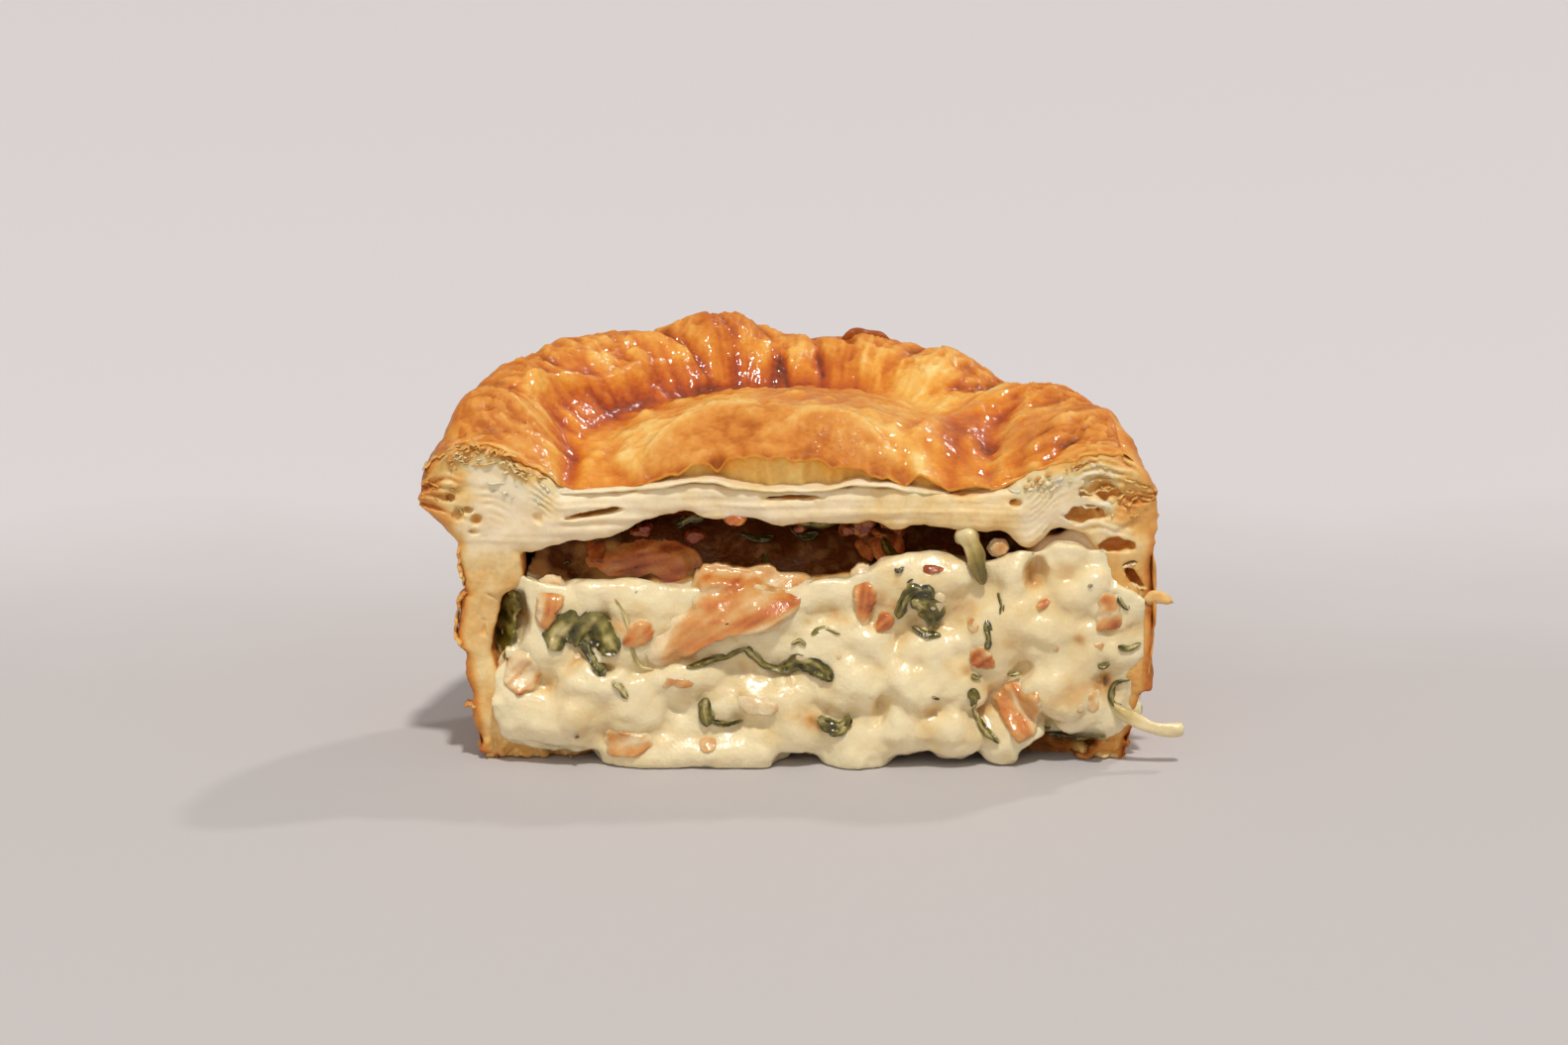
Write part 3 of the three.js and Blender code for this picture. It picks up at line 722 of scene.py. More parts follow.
# Cut pastry, as corners across and up: the lid's sheets between an upper and a lower edge
cut = {
    "depth": 7.0,
    "halfWidth": 55.5,
    "baseHalf": 47.5,
    "wallTop": 37.5,
    "sheetStep": 0.29,
    "sheetSpan": (-57.0, 57.0),
    "sheetHeights": (30.0, 50.6),
    "wallStep": 0.34,
    "leftSpan": (-53.0, -33.0),
    "rightSpan": (43.0, 57.5),
    "wallHeights": (-0.4, 30.4),
    "looseFlakes": 26,
    "sheetTop": [(-55.8, 41.8), (-55.2, 44.4), (-53.8, 47.1), (-52.2, 48.8), (-50.2, 49.4), (-45.8, 47.8),
                 (-40, 46.3), (-35.6, 44.2), (-33.2, 42.3), (-26, 42.1), (-20, 42.7), (-13.7, 43.5),
                 (-8, 42.7), (0.4, 42.2), (11, 43), (17.6, 42.2), (23, 41.8), (28, 41.8), (33, 42.2),
                 (37.5, 43.2), (44, 45.8), (47.3, 47), (50, 47.2), (51.8, 46.6), (53.4, 45), (54.6, 43),
                 (55.2, 40.6)],
    "sheetBottom": [(-55.6, 40.0), (-54.8, 38.9), (-53.2, 37.4), (-51.2, 35.4), (-49, 34.6), (-42, 33.4),
                    (-38.5, 33.0), (-32.8, 34.6), (-27, 35.2), (-21.3, 37.8), (-16, 38.8), (-12.8, 38),
                    (-5.2, 37.9), (-1.8, 36.7), (3.9, 37.4), (7.2, 36.9), (12.8, 37.4), (16.3, 36.4),
                    (19.1, 37.3), (23.4, 36.2), (31.3, 36), (33.6, 34.6), (35.4, 33.4), (37, 33.8),
                    (38.8, 35.6), (41, 36.6), (46, 35.4), (50.4, 35.4), (53.6, 36.2), (55.2, 38.6)],
    # Both walls, as height and place across
    "leftOuter": [(0, -45), (0.8, -45.6), (1.5, -47.3), (5.5, -48), (9.5, -48.3), (13.3, -49.1),
                  (16.8, -49.4), (17.8, -50.4), (20, -50.7), (25.2, -50), (26, -49.2), (27.8, -49.6),
                  (30.8, -50.1), (34.5, -50), (37, -50.6)],
    "leftInner": [(0, -36), (1.2, -37.6), (5.8, -41), (10.5, -42.8), (14.5, -44.6), (17.8, -45.1),
                  (21.8, -44.7), (25.5, -43.8), (26.8, -41.8), (27.6, -40.6), (31.2, -40.6), (33.6, -41),
                  (37, -40)],
    "rightOuter": [(0, 51), (0.6, 51.4), (3.5, 52.2), (10.2, 53.6), (11, 54.9), (18.9, 55.2), (24, 55.1),
                   (26.2, 54.8), (37, 55)],
    "rightInner": [(0, 45), (3, 47), (10, 49), (20, 49), (26, 48), (30, 47), (33, 46), (37, 44)],
    # Pockets between the layers: across, up, half width, half height, tilt, depth
    "pockets": [
        (-29.5, 38.8, 5.4, 0.5, 0.17, 3.0),
        (0.5, 41.2, 5.4, 0.42, 0.0, 2.6),
        (-51, 41.2, 0.8, 0.7, 0.3, 1.4),
        (-49.9, 38.9, 0.75, 1.1, -0.6, 1.6),
        (-48.4, 39.4, 0.9, 0.6, -0.2, 1.6),
        (-47.2, 38, 0.85, 0.8, -0.3, 1.6),
        (-47.5, 35.9, 1.1, 0.5, -0.1, 1.4),
        (-38, 38, 0.9, 1.1, 0.4, 1.0),
        (47.6, 42.2, 4.6, 1.9, -0.1, 1.8),
        (44.8, 38.9, 3.2, 1.5, 0.02, 3.2),
        (52, 41, 1.6, 0.7, 0.2, 2.0),
        (34.2, 40.4, 1.3, 0.9, 0.0, 1.3),
        (49.4, 33.9, 2.5, 1.0, 0.06, 3.4),
        (51, 30.9, 1.5, 0.5, 0.3, 3.0),
        (52.2, 28.6, 2.5, 0.75, -1.2, 3.0),
        (-44.8, 25.8, 0.45, 1.7, 2.0, 1.6),
        (-46.4, 21, 0.4, 2.0, 0.0, 1.2),
    ],
    # Thin layers of the rim at the cut: corners across and up, front, thickness, bake at both ends
    "rimFlakes": [
        ([(-52.6, 47), (-48.6, 46.9), (-45, 47.7), (-41, 47.4)], -0.55, 0.4, (0.5, 0.3)),
        ([(-54.2, 44.6), (-50.3, 45.7), (-46, 46.3), (-41.6, 46.6)], -0.65, 0.4, (0.48, 0.2)),
        ([(-53.6, 45.6), (-50.8, 46.4), (-47.4, 46.4)], -0.75, 0.35, (0.5, 0.32)),
        ([(-55.3, 44.2), (-53.2, 43), (-50.6, 42.4), (-48.4, 43)], -0.45, 0.45, (0.5, 0.16)),
        ([(-54.9, 41.4), (-52.8, 40.8), (-50.4, 40.2), (-48.6, 38.4)], -0.55, 0.45, (0.46, 0.06)),
        ([(-54.2, 43), (-52.4, 42.2), (-50.8, 41.8)], -0.75, 0.4, (0.5, 0.4)),
        ([(-46.8, 43.6), (-42.6, 43.4), (-39, 42), (-36.8, 39.8)], -0.65, 0.3, (0.04, 0.02)),
        ([(-45.8, 42.1), (-42.6, 42.1), (-40.8, 40.6)], -0.55, 0.3, (0.02, 0.04)),
        ([(-44, 45.2), (-40.6, 44.8), (-37.6, 43.4), (-35.2, 41.6)], -0.55, 0.3, (0.12, 0.04)),
        ([(32.8, 42.4), (35.7, 42.5), (39.3, 43.7), (43.9, 45.7), (46.8, 46.6)], -0.75, 1.0, (0.02, 0.06)),
        ([(43.6, 45.2), (46.6, 46), (50, 45.2), (53.4, 43.6)], -0.45, 0.45, (0.26, 0.5)),
        ([(44.4, 43.8), (48.4, 44.1), (52, 43.5), (54.4, 42.2)], -0.25, 0.4, (0.2, 0.5)),
        ([(44, 44.6), (47.4, 45.1), (51.4, 44.4)], 0.05, 0.35, (0.34, 0.46)),
        ([(42.8, 43), (44.8, 41.8), (47.5, 42.2), (50.2, 43.4)], -0.35, 0.35, (0.16, 0.34)),
        ([(42.4, 41.6), (43.7, 40.1), (46.6, 40.1), (49.8, 41.3), (52.6, 42)], -0.55, 0.4, (0.03, 0.42)),
        ([(46.2, 40.1), (47.7, 39.5), (48.8, 38.1)], -0.55, 0.35, (0.03, 0.1)),
        ([(47.2, 40.9), (50.2, 40), (51.8, 40.8), (54, 41.4)], -0.15, 0.4, (0.22, 0.5)),
        ([(46.4, 42.8), (49.4, 42.4), (52.8, 41.8)], 0.25, 0.35, (0.3, 0.46)),
        ([(50.4, 38.6), (52.2, 38.8), (54.2, 40)], -0.55, 0.45, (0.3, 0.52)),
        ([(51.6, 45.4), (53.6, 43.8), (54.8, 41.8), (54, 39.4)], -0.35, 0.5, (0.5, 0.54)),
    ],
    # Thin sheet that lies over the dough along the bubble
    "sheet": {
        "top": [(-36, 41.8), (-23.4, 43), (-13.7, 44.2), (-8, 43.3), (1.5, 42.7), (11, 43.6), (17.6, 42.8),
                (24, 42)],
        "thick": 0.75,
        "front": -1.1,
        "seed": 53,
    },
}


# Height of the lid's skin along the cut
def skinFront(x):
    height = lidHeight(x, 0 * x)[0]
    return height + lidRelief(x, 0 * x, height)[0]


# How far each place lies outside the cut pastry, with where it is in the rim's layers
def cutRegion(x, y, z):
    underSkin = smooth(32, 35, np.abs(x)) * smooth(51, 49.5, np.abs(x))
    rise = lid["sag"] * (1 - np.exp(-np.maximum(y, 0) / lid["sagDepth"]))
    top = mix(curveAt(cut["sheetTop"], x), skinFront(x) - 0.8 + 0.7 * rise, underSkin)
    tuck = 0.16 * np.maximum(y, 0) + 0.01 * y * y
    bottom = curveAt(cut["sheetBottom"], x)
    sheets = np.maximum(z - top, bottom - z)
    sheets = np.maximum(sheets, np.abs(x + 0.2) - cut["halfWidth"] + tuck)
    left = np.maximum(curveAt(cut["leftOuter"], z) - x + tuck, x - curveAt(cut["leftInner"], z))
    right = np.maximum(x - curveAt(cut["rightOuter"], z) + tuck, curveAt(cut["rightInner"], z) - x)
    walls = np.maximum(np.minimum(left, right), np.maximum(0.1 - z, z - cut["wallTop"]))
    baseTop = 2.4 * smooth(-31, -38, x) + 1.0 * smooth(42, 45, x) + 1.8 * smooth(46, 49, x) - 0.2
    base = np.maximum(np.maximum(z - baseTop, 0.1 - z), np.abs(x - caseShift) - cut["baseHalf"])
    region = smoothMin(smoothMin(sheets, walls, 1.6), base, 1.0)
    layer = np.clip((top - z) / np.maximum(top - bottom, 0.5), 0, 1)
    return region, layer


def cutRelief(x, z, layer):
    side = np.sign(x)
    away = np.abs(x)
    rimEnd = smooth(32, 38, away) * smooth(34, 37, z)
    outward = np.clip((away - 34) / 21, 0, 1)
    warp = 0.35 * noise(x, z, side, 5.0, 71)
    bow = 0.1 * bell(away, 45, 6)
    wander = (layer + bow) * 10 + 2.0 * noise(x, z, side, 8.0, 72) + 0.5 * noise(x, z, side, 2.4, 74)
    arcs = np.sin(2 * math.pi * wander) * smooth(-0.4, 0.6, noise(x, z, side, 3.4, 73)) * rimEnd
    inward = 58 - away
    fan = noise(np.arctan2(z - 41.2, inward) * 10 + warp, inward / 5, side, 1.0, 75)
    strands = smooth(0.0, 0.5, fan) * rimEnd * smooth(0.62, 0.85, outward + 0.25 * smooth(0.3, 0.0, layer))
    band = noise(x / 13, z / 0.6 + warp, 0.0, 1.0, 77) * (1 - rimEnd) * smooth(32, 36, z)
    wall = smooth(0.4, 0.8, noise(x / 0.9 + 2 * warp, z / 7, side, 1.0, 79)) * smooth(33, 29, z)
    front = -0.75 + 0.24 * arcs + 0.8 * strands + 0.3 * band + 0.3 * wall
    front = front + 0.5 * noise(x, z, 0.0, 7.0, 81) + 0.22 * noise(x, z, 0.0, 2.0, 83)
    front = front + smooth(6, 2, z) * (0.5 + 1.4 * layered(x, z, 0.0, 1.8, 2, 84))
    return front, arcs, strands, rimEnd, outward


def cutField(x, y, z):
    region, layer = cutRegion(x, y, z)
    region = region + 0.4 * noise(x, y, z, 3.2, 85) + 0.25 * noise(x, y, z, 1.2, 87)
    region = region + smooth(5, 2, z) * (1.1 * noise(x, y, z, 2.2, 86) + 0.8 * noise(x, y, z, 1.0, 88))
    front = cutRelief(x, z, layer)[0] + 0.9 * np.exp(np.minimum(region, 0) / 0.7)
    field = np.maximum(np.maximum(region, front - y), y - cut["depth"])
    wobble = 0.45 * noise(x, y, z, 1.9, 89) + 0.2 * noise(x, y, z, 0.8, 90)
    for middleX, middleZ, halfWidth, halfHeight, tilt, depth in cut["pockets"]:
        across, up = alongAcross(x - middleX, z - middleZ, math.atan(tilt))
        lens = np.sqrt((across / halfWidth) ** 2 + (up / halfHeight) ** 2 + ((y + 0.8) / depth) ** 2)
        field = np.maximum(field, (1 + wobble - lens) * min(halfWidth, halfHeight))
    return np.maximum(field, tableGap - z)


def cutDough(rangeX, rangeZ, step):
    gridX = step * np.arange(math.floor(rangeX[0] / step), math.ceil(rangeX[1] / step))
    gridY = np.concatenate([np.arange(-2.6, 4.2, step), np.arange(5.0, 8.4, 0.8)])
    gridZ = step * np.arange(math.floor(rangeZ[0] / step), math.ceil(rangeZ[1] / step))
    x, y, z, faces = surfaceNet(cutField(*np.ix_(gridX, gridY, gridZ)), gridX, gridY, gridZ)
    layer = cutRegion(x, y, z)[1]
    front, arcs, strands, rimEnd, outward = cutRelief(x, z, layer)
    mottle = noise(x, y, z, 2.4, 91)
    tip = smooth(0.6, 0.98, outward + 0.12 * mottle)
    under = smooth(0.2, 0.0, layer + 0.08 * mottle) * smooth(0.1, 0.35, outward)
    brown = np.maximum(tip, np.where(x < 0, 0.9, 0.6) * under) * rimEnd
    skin = np.where(x < 0, x - curveAt(cut["leftOuter"], z), curveAt(cut["rightOuter"], z) - x)
    edge = smooth(1.7, 0.1, skin + 0.6 * mottle) * (1 - rimEnd)
    # Painted shade: places that lie deeper behind the cut face, and the grooves between the layers, are
    # painted darker
    deep = smooth(0.3, 1.8, y - front) * smooth(0.4, 2.0, skin) * smooth(0.02, 0.12, layer)
    bake = 0.02 + 0.36 * brown + 0.36 * edge + 0.14 * strands + 0.34 * deep
    bake = bake + 0.14 * np.clip(arcs, 0, 1) + 0.05 * mottle
    bake = bake + 0.12 * smooth(0.3, 0.0, layer + 0.1 * mottle) * rimEnd + 0.2 * smooth(36, 28, z)
    bake = bake + 0.12 * smooth(4.5, 1.0, z) + 0.13 * smooth(4, 16, x) * (1 - rimEnd)
    bake = bake - 0.22 * smooth(0.6, 2.0, y) * smooth(1.4, 0.3, skin) * (1 - rimEnd)
    return shapeOf(x, y, z, faces, bake=np.clip(bake, 0, 0.9))


def doughSheet(sheet):
    seed = sheet["seed"]
    x = np.linspace(sheet["top"][0][0], sheet["top"][-1][0], 260)
    ends = smooth(0, 4, x - x[0]) * smooth(0, 4, x[-1] - x)
    high = curveAt(sheet["top"], x) + 0.25 * lineNoise(x, 3.0, seed)
    thick = sheet["thick"] * (0.4 + 0.6 * ends) * (1 + 0.3 * lineNoise(x, 2.2, seed + 5))
    front = sheet["front"] + 0.6 * lineNoise(x, 5.0, seed + 1) + 0.35 * lineNoise(x, 1.4, seed + 2)
    front = front + 1.2 * (1 - ends)
    section = np.array([(16.0, 1.0), (8.0, 1.0), (3.0, 1.0), (1.0, 0.98), (0.25, 0.8), (0.0, 0.5),
                        (0.25, 0.2), (1.0, 0.02), (3.0, 0.0), (8.0, 0.0)])
    back, level = section.T[:, :, None]
    bake = 0.04 + 0.04 * noise(x, back, 0.0, 4.0, seed + 6)
    return shapeOf(x, front + back, high - thick * (1 - level), gridFaces(*bake.shape), bake=bake)


# The lid's underside behind the cut, over the air gap, painted dark brown as the shade under the lid
def lidCeiling():
    turn = np.linspace(0, math.pi, 90)[None, :]
    share = np.linspace(0, 1, 30)[:, None]
    ceiling = lid["ceiling"]
    x = ceiling["halfWidth"] * share * np.cos(turn)
    y = ceiling["front"] + ceiling["depth"] * share * np.sin(turn)
    z = ceiling["height"] - ceiling["fall"] * smooth(20, 36, np.hypot(x, y)) + 0.5 * noise(x, y, 0.0, 6.0, 93)
    return shapeOf(x, y, z, gridFaces(*x.shape), bake=0.86 + 0.14 * noise(x, y, 0.0, 5.0, 95))


# A thin leaf of pastry along a line in the cut plane, running back into the pie
def flakeRibbon(line, front, depth, thickness, bakes, seed):
    share = np.linspace(0, 1, len(line))
    normal = lineNormals(line)
    place = share * 20 + seed * 7.3
    buckle = 0.35 * noise(place, seed, 0.0, 3.0, 61) + 0.16 * noise(place, seed, 0.0, 1.1, 62)
    edge = front + 0.8 * noise(place, seed, 0.0, 2.6, 63) + 0.5 * noise(place, seed, 0.0, 0.9, 64)
    ends = smooth(0.0, 0.14, share) * smooth(1.0, 0.86, share)
    half = 0.5 * thickness * (1 + 0.5 * noise(place, seed, 0.0, 1.5, 65)) * (0.2 + 0.8 * ends)
    edge = edge + (1 - ends)
    upper = [(depth, 1.0), (2.4, 1.0), (0.7, 0.95), (0.12, 0.6), (0.0, 0.0)]
    section = np.array(upper + [(back, -lift) for back, lift in upper[-2::-1]])
    back, lift = section.T[:, :, None]
    offset = buckle * (0.4 + 0.6 * np.exp(-back / 5)) + lift * half
    x, z = (line[:, k] + normal[:, k] * offset for k in (0, 1))
    bake = mix(*bakes, share**2) + 0.08 * noise(place, seed, 0.0, 2.0, 66)
    return shapeOf(x, edge + back, z, gridFaces(*x.shape), bake=bake)


addPiece("lid_crust", lidSkin(), crustPaint, ["pastry_lid"])
dough = [
    cutDough(cut["sheetSpan"], cut["sheetHeights"], cut["sheetStep"]),
    doughSheet(cut["sheet"]),
    lidCeiling(),
]
for seed, (corners, front, thickness, bakes) in enumerate(cut["rimFlakes"]):
    dough.append(flakeRibbon(curveThrough(corners, 70), front, 4.4, thickness, bakes, 70 + seed))
pick = np.random.default_rng(31)
for k in range(cut["looseFlakes"]):
    side = -1 if k % 2 else 1
    start = pick.uniform(36, 50) if side < 0 else pick.uniform(33, 41)
    below = pick.uniform(0.1, 2.4)
    across = side * np.linspace(start, start + pick.uniform(2.5, 6), 40)
    up = np.minimum(skinFront(across), curveAt(cut["sheetTop"], across) + 1.2) - below
    pale = mix(0.4, 0.12, smooth(0.2, 2.0, below))
    front = pick.uniform(-0.9, -0.4)
    dough.append(flakeRibbon(np.stack([across, up], -1), front, 4.0, 0.4, (pale, pale), 170 + k))
addPiece("lid_layers", joined(dough), doughPaint)
print("lid made")

# Case: radius of the outer and inner wall about the case's own axis, by height
case = {
    "height": 35,
    "columns": 300,
    "rows": 84,
    "baseSpan": (-46.5, 51.5),
    "baseRadius": 48.6,
    "baseColumns": 220,
    # Rounded upper edge: height and how far in
    "upperEdge": [(35.5, 1.5), (35.7, 7.0)],
    "outerWall": [(48.0, 0), (49.2, 1), (49.8, 3), (50.6, 7.6), (51.9, 12.4), (52.3, 20), (52.3, 27.5),
                  (52.2, 35.0)],
    "innerWall": [(42.0, 0), (44.2, 3), (46.2, 5), (47, 7.5), (47.2, 17), (46.8, 23.4), (45.2, 26),
                  (42.6, 27.8), (41.6, 35.0)],
    # Thin flakes on the cut of the walls: corners across and up, front, depth, bake at both ends
    "flakes": [
        ([(-49.6, 17.2), (-50.6, 21), (-50.0, 25.4), (-48.6, 26.6)], -0.6, 3.0, (0.3, 0.55)),
        ([(-49.4, 27), (-49.9, 30.6), (-50.2, 34.4)], -0.5, 4.0, (0.25, 0.45)),
        ([(-47.4, 8), (-48.6, 8.6), (-49.6, 8.2)], -0.3, 2.6, (0.3, 0.6)),
        ([(54.4, 12), (54.9, 18), (55.1, 24.6), (54.9, 34)], -0.5, 5.0, (0.45, 0.5)),
        ([(49.4, 30.4), (51.6, 30.8), (54, 30.6)], -0.4, 3.0, (0.05, 0.3)),
        ([(49.8, 27.2), (51.8, 27.4), (54.2, 27)], -0.4, 3.0, (0.05, 0.3)),
    ],
}


def wallRadius(profile, z):
    table = np.asarray(profile, float)
    return np.interp(z, table[:, 1], table[:, 0])


def caseShell():
    angle = np.linspace(0, math.pi, case["columns"])[None, :]
    upper = np.array(case["upperEdge"])
    z = np.concatenate([np.linspace(0, case["height"], case["rows"]), upper[:, 0]])[:, None]
    place = angle * arcScale
    blister = layered(place, z, 0.0, 7.0, 3, 91)
    peel = np.maximum(0, noise(place / 2.4, z, 0.0, 2.2, 93)) ** 2
    ring = wallRadius(case["outerWall"], z) + 0.5 * blister + 0.7 * peel
    ring = ring + 0.12 * noise(place, z, 0.0, 0.8, 95)
    arc = np.minimum(angle, math.pi - angle) * arcScale
    rightEnd = curveAt(cut["rightOuter"], z) - caseShift
    leftEnd = caseShift - curveAt(cut["leftOuter"], z)
    ends = np.where(angle < 1.5, rightEnd, leftEnd) - 0.4
    ring = mix(ring, ends, np.exp(-((arc / 9) ** 2)))
    ring[-len(upper) :] -= upper[:, 1:]
    bake = 0.42 + 0.16 * blister + 0.1 * peel + 0.1 * smooth(26, 35, z) - 0.06 * bell(z, 8, 6)
    faces = gridFaces(*ring.shape)
    return shapeOf(caseShift + ring * np.cos(angle), ring * np.sin(angle), z, faces, bake=bake)


# Base: a flat disc with a crumbly front edge
def caseBase():
    x = np.linspace(*case["baseSpan"], case["baseColumns"])
    half = np.sqrt(np.maximum(0, case["baseRadius"] ** 2 - (x - caseShift) ** 2))
    ragged = 0.8 + 0.9 * lineNoise(x, 2.4, 101) + 0.5 * lineNoise(x, 0.9, 102)
    uneven = 0.62 + 0.34 * lineNoise(x, 2.6, 105) + 0.2 * lineNoise(x, 0.9, 106)
    recess = smooth(-34, -30, x) * smooth(45, 42, x)
    ragged = ragged + (2.4 + 2.6 * smooth(18, 24, x)) * recess
    section = np.array([(1.0, 0.0), (0.5, 0.0), (0.12, 0.0), (0.03, 0.05), (0.0, 0.6), (-0.003, 1.4),
                        (0.0, 2.2), (0.02, 2.9), (0.2, 3.0), (0.5, 3.0)])
    share, level = section.T[:, :, None]
    crumb = 0.9 * noise(x, level, 0.0, 1.5, 103) + 0.6 * noise(x, level, 0.0, 0.7, 104)
    y = share * half + (ragged + crumb) * (share < 0.1)
    # Where the front edge sits back under the sauce it is painted darker: painted shade
    bake = 0.3 + 0.16 * crumb + 0.3 * recess
    return shapeOf(x, y, level * uneven, gridFaces(*y.shape), bake=bake)


pastry = [
    caseShell(),
    caseBase(),
    cutDough(cut["leftSpan"], cut["wallHeights"], cut["wallStep"]),
    cutDough(cut["rightSpan"], cut["wallHeights"], cut["wallStep"]),
]
for seed, (corners, front, depth, bakes) in enumerate(case["flakes"]):
    pastry.append(flakeRibbon(curveThrough(corners, 50), front, depth, 0.55, bakes, 130 + seed))
addPiece("case_crust", joined(pastry), casePaint, ["pastry_case"])
print("case made")

# Sauce: a thick body in the case that slumps out of the cut
sauce = {
    "step": 0.45,
    "specks": 60,
    "backHeight": 36.2,
    # Reach of the fine grid across, back and up, and the coarse grid behind it: start, end, count
    "across": (-47.0, 54.0),
    "back": (-8.6, 9.0),
    "up": (-0.45, 38.4),
    "coarse": (10, 48, 16),
    # Lumps: across, back, up and three half sizes
    "lumps": [
        (-28.7, -1.6, 12.0, 5.0, 3.6, 4.0),
        (-32.8, -1.2, 6.4, 6.0, 4.0, 4.6),
        (-40.6, -0.6, 7.6, 4.6, 3.0, 4.6),
        (-23.4, -1.4, 8.7, 7.0, 3.8, 5.0),
        (-16.0, -1.4, 12.4, 6.0, 3.6, 3.8),
        (-10.6, -1.0, 8.2, 5.4, 3.4, 4.8),
        (-15.4, -1.0, 6.0, 4.4, 3.2, 4.4),
        (-4.0, -1.2, 10.6, 6.0, 3.6, 3.6),
        (0.4, -1.4, 5.4, 7.0, 3.6, 4.4),
        (9.4, -1.4, 12.6, 7.0, 3.8, 4.0),
        (19.0, -2.0, 12.4, 5.0, 4.4, 5.0),
        (17.6, -1.8, 5.8, 5.0, 4.2, 5.0),
        (23.6, -1.8, 5.9, 6.0, 4.2, 4.8),
        (25.0, -1.6, 12.6, 5.0, 4.0, 5.0),
        (21.3, -1.0, 18.0, 6.0, 3.8, 4.4),
        (21.3, 0.6, 28.0, 5.6, 3.4, 4.2),
        (33.3, 0.2, 28.8, 3.4, 3.2, 4.2),
        (34.8, -0.6, 22.6, 6.0, 3.6, 5.0),
        (39.0, -0.4, 20.2, 5.0, 3.2, 5.0),
        (43.0, -0.2, 25.6, 5.0, 2.8, 4.6),
        (45.2, -0.4, 16.4, 6.0, 3.0, 5.0),
        (43.7, -0.6, 11.0, 5.6, 3.4, 5.0),
        (40.0, -0.8, 12.6, 4.6, 3.6, 5.0),
        (48.6, -0.2, 8.6, 3.6, 2.6, 5.0),
        (50.2, 0.0, 17.0, 2.8, 2.0, 6.0),
        (-31.6, 0.0, 24.8, 5.0, 2.4, 3.6),
        (-23.4, 0.0, 25.4, 6.0, 2.4, 3.2),
        (-35.4, -0.2, 18.4, 4.0, 2.6, 5.0),
        (-23.4, -0.4, 18.0, 5.0, 2.8, 4.0),
        (6.4, -0.8, 18.6, 6.0, 3.2, 4.0),
        (11.6, -0.8, 18.6, 5.0, 3.4, 4.0),
        (5.0, 0.2, 25.8, 5.0, 2.2, 3.2),
        (15.4, 0.2, 26.0, 4.0, 2.2, 4.0),
        (30.3, -0.8, 18.6, 4.6, 3.4, 5.0),
        (-7.0, -0.4, 20.0, 12.0, 2.6, 7.0),
        (33.6, -1.2, 5.0, 5.0, 3.4, 4.0),
        (40.5, 1.2, 29.6, 4.0, 2.4, 3.4),
    ],
    # Runs over the base to the table, and hollows under the swellings, in the same way
    "runs": [
        (-20.0, -1.2, 1.6, 8.6, 4.4, 4.0),
        (-9.0, -1.4, 1.4, 8.6, 4.8, 4.2),
        (10.6, -1.2, 2.0, 5.4, 4.2, 6.0),
        (33.4, -1.6, 3.0, 2.0, 2.4, 3.4),
    ],
    "hollows": [
        (-31.0, -3.0, 0.4, 2.6, 5.0, 2.0),
        (0.8, -3.4, 0.4, 4.0, 5.0, 2.2),
        (23.5, -3.6, -0.2, 7.0, 5.0, 1.7),
        (41.5, -2.6, 1.2, 7.0, 5.0, 3.2),
        (-42.6, -0.5, 22.0, 3.2, 5.0, 4.8),
        (-44.4, -0.5, 17.4, 1.5, 4.0, 3.4),
        (37.2, -1.6, 29.6, 1.6, 2.6, 2.6),
        (13.6, -4.4, 9.0, 1.2, 2.2, 2.4),
        (-28.0, -3.4, 15.4, 3.0, 2.0, 1.2),
    ],
    # Warm stains round the bacon: across, up, reach, amount. The entry at (-20, 9) lightens a lump's shadow
    # (painted light) and the two at (-11, 29.4) and (-3, 29.0) darken the sauce above the slab (painted
    # shade)
    "stains": [
        (-40.5, 14.5, 4.5, 0.14),
        (-36, 24, 4.0, 0.2),
        (-23, 20.5, 3.6, 0.16),
        (-17, 14.5, 4.0, 0.18),
        # Painted light: lifts the shadow under a lump
        (-20, 9, 5.0, -0.16),
        # Painted shade above the slab's top, on this line and the next
        (-11, 29.4, 3.4, 0.42),
        (-3, 29.0, 3.6, 0.38),
        (-24, 4, 5.0, 0.2),
        (-5, 9.5, 5.5, 0.14),
        (-4, 22, 9.0, 0.1),
        (12, 25, 5.0, 0.16),
        (15, 16, 5.0, 0.12),
        (22, 26, 4.0, 0.12),
        (29, 18, 4.5, 0.16),
        (33, 31, 4.0, 0.16),
        (34.5, 8, 6.0, 0.12),
        (40, 24, 5.0, 0.1),
        (45, 10, 5.0, 0.16),
        (47, 19, 6.0, 0.14),
    ],
    # Height of the upper edge at the cut, left to right
    "edge": [29.0, 27.6, 27.0, 27.6, 27.6, 27.8, 28.2, 29.6, 31.6, 31.4, 34.0, 33.6],
}


def ellipsoid(x, y, z, lump):
    cx, cy, cz, rx, ry, rz = lump
    scaled = np.sqrt(((x - cx) / rx) ** 2 + ((y - cy) / ry) ** 2 + ((z - cz) / rz) ** 2)
    return (scaled - 1) * min(rx, ry, rz)


# Height of the sauce's top, which climbs to the lid behind the cut
def sauceTop(x, y):
    lumps = 1.6 * noise(x, y, 0.0, 7.0, 151) + 1.0 * noise(x, y, 0.0, 3.0, 152)
    edge = along(sauce["edge"], (x - caseShift) / 90 + 0.5)
    near = smooth(32, 38, x)
    climb = smooth(mix(4.0, 0.4, near), mix(13.0, 3.0, near), y)
    return edge + (sauce["backHeight"] - edge) * climb + lumps * smooth(-4, 4, y)


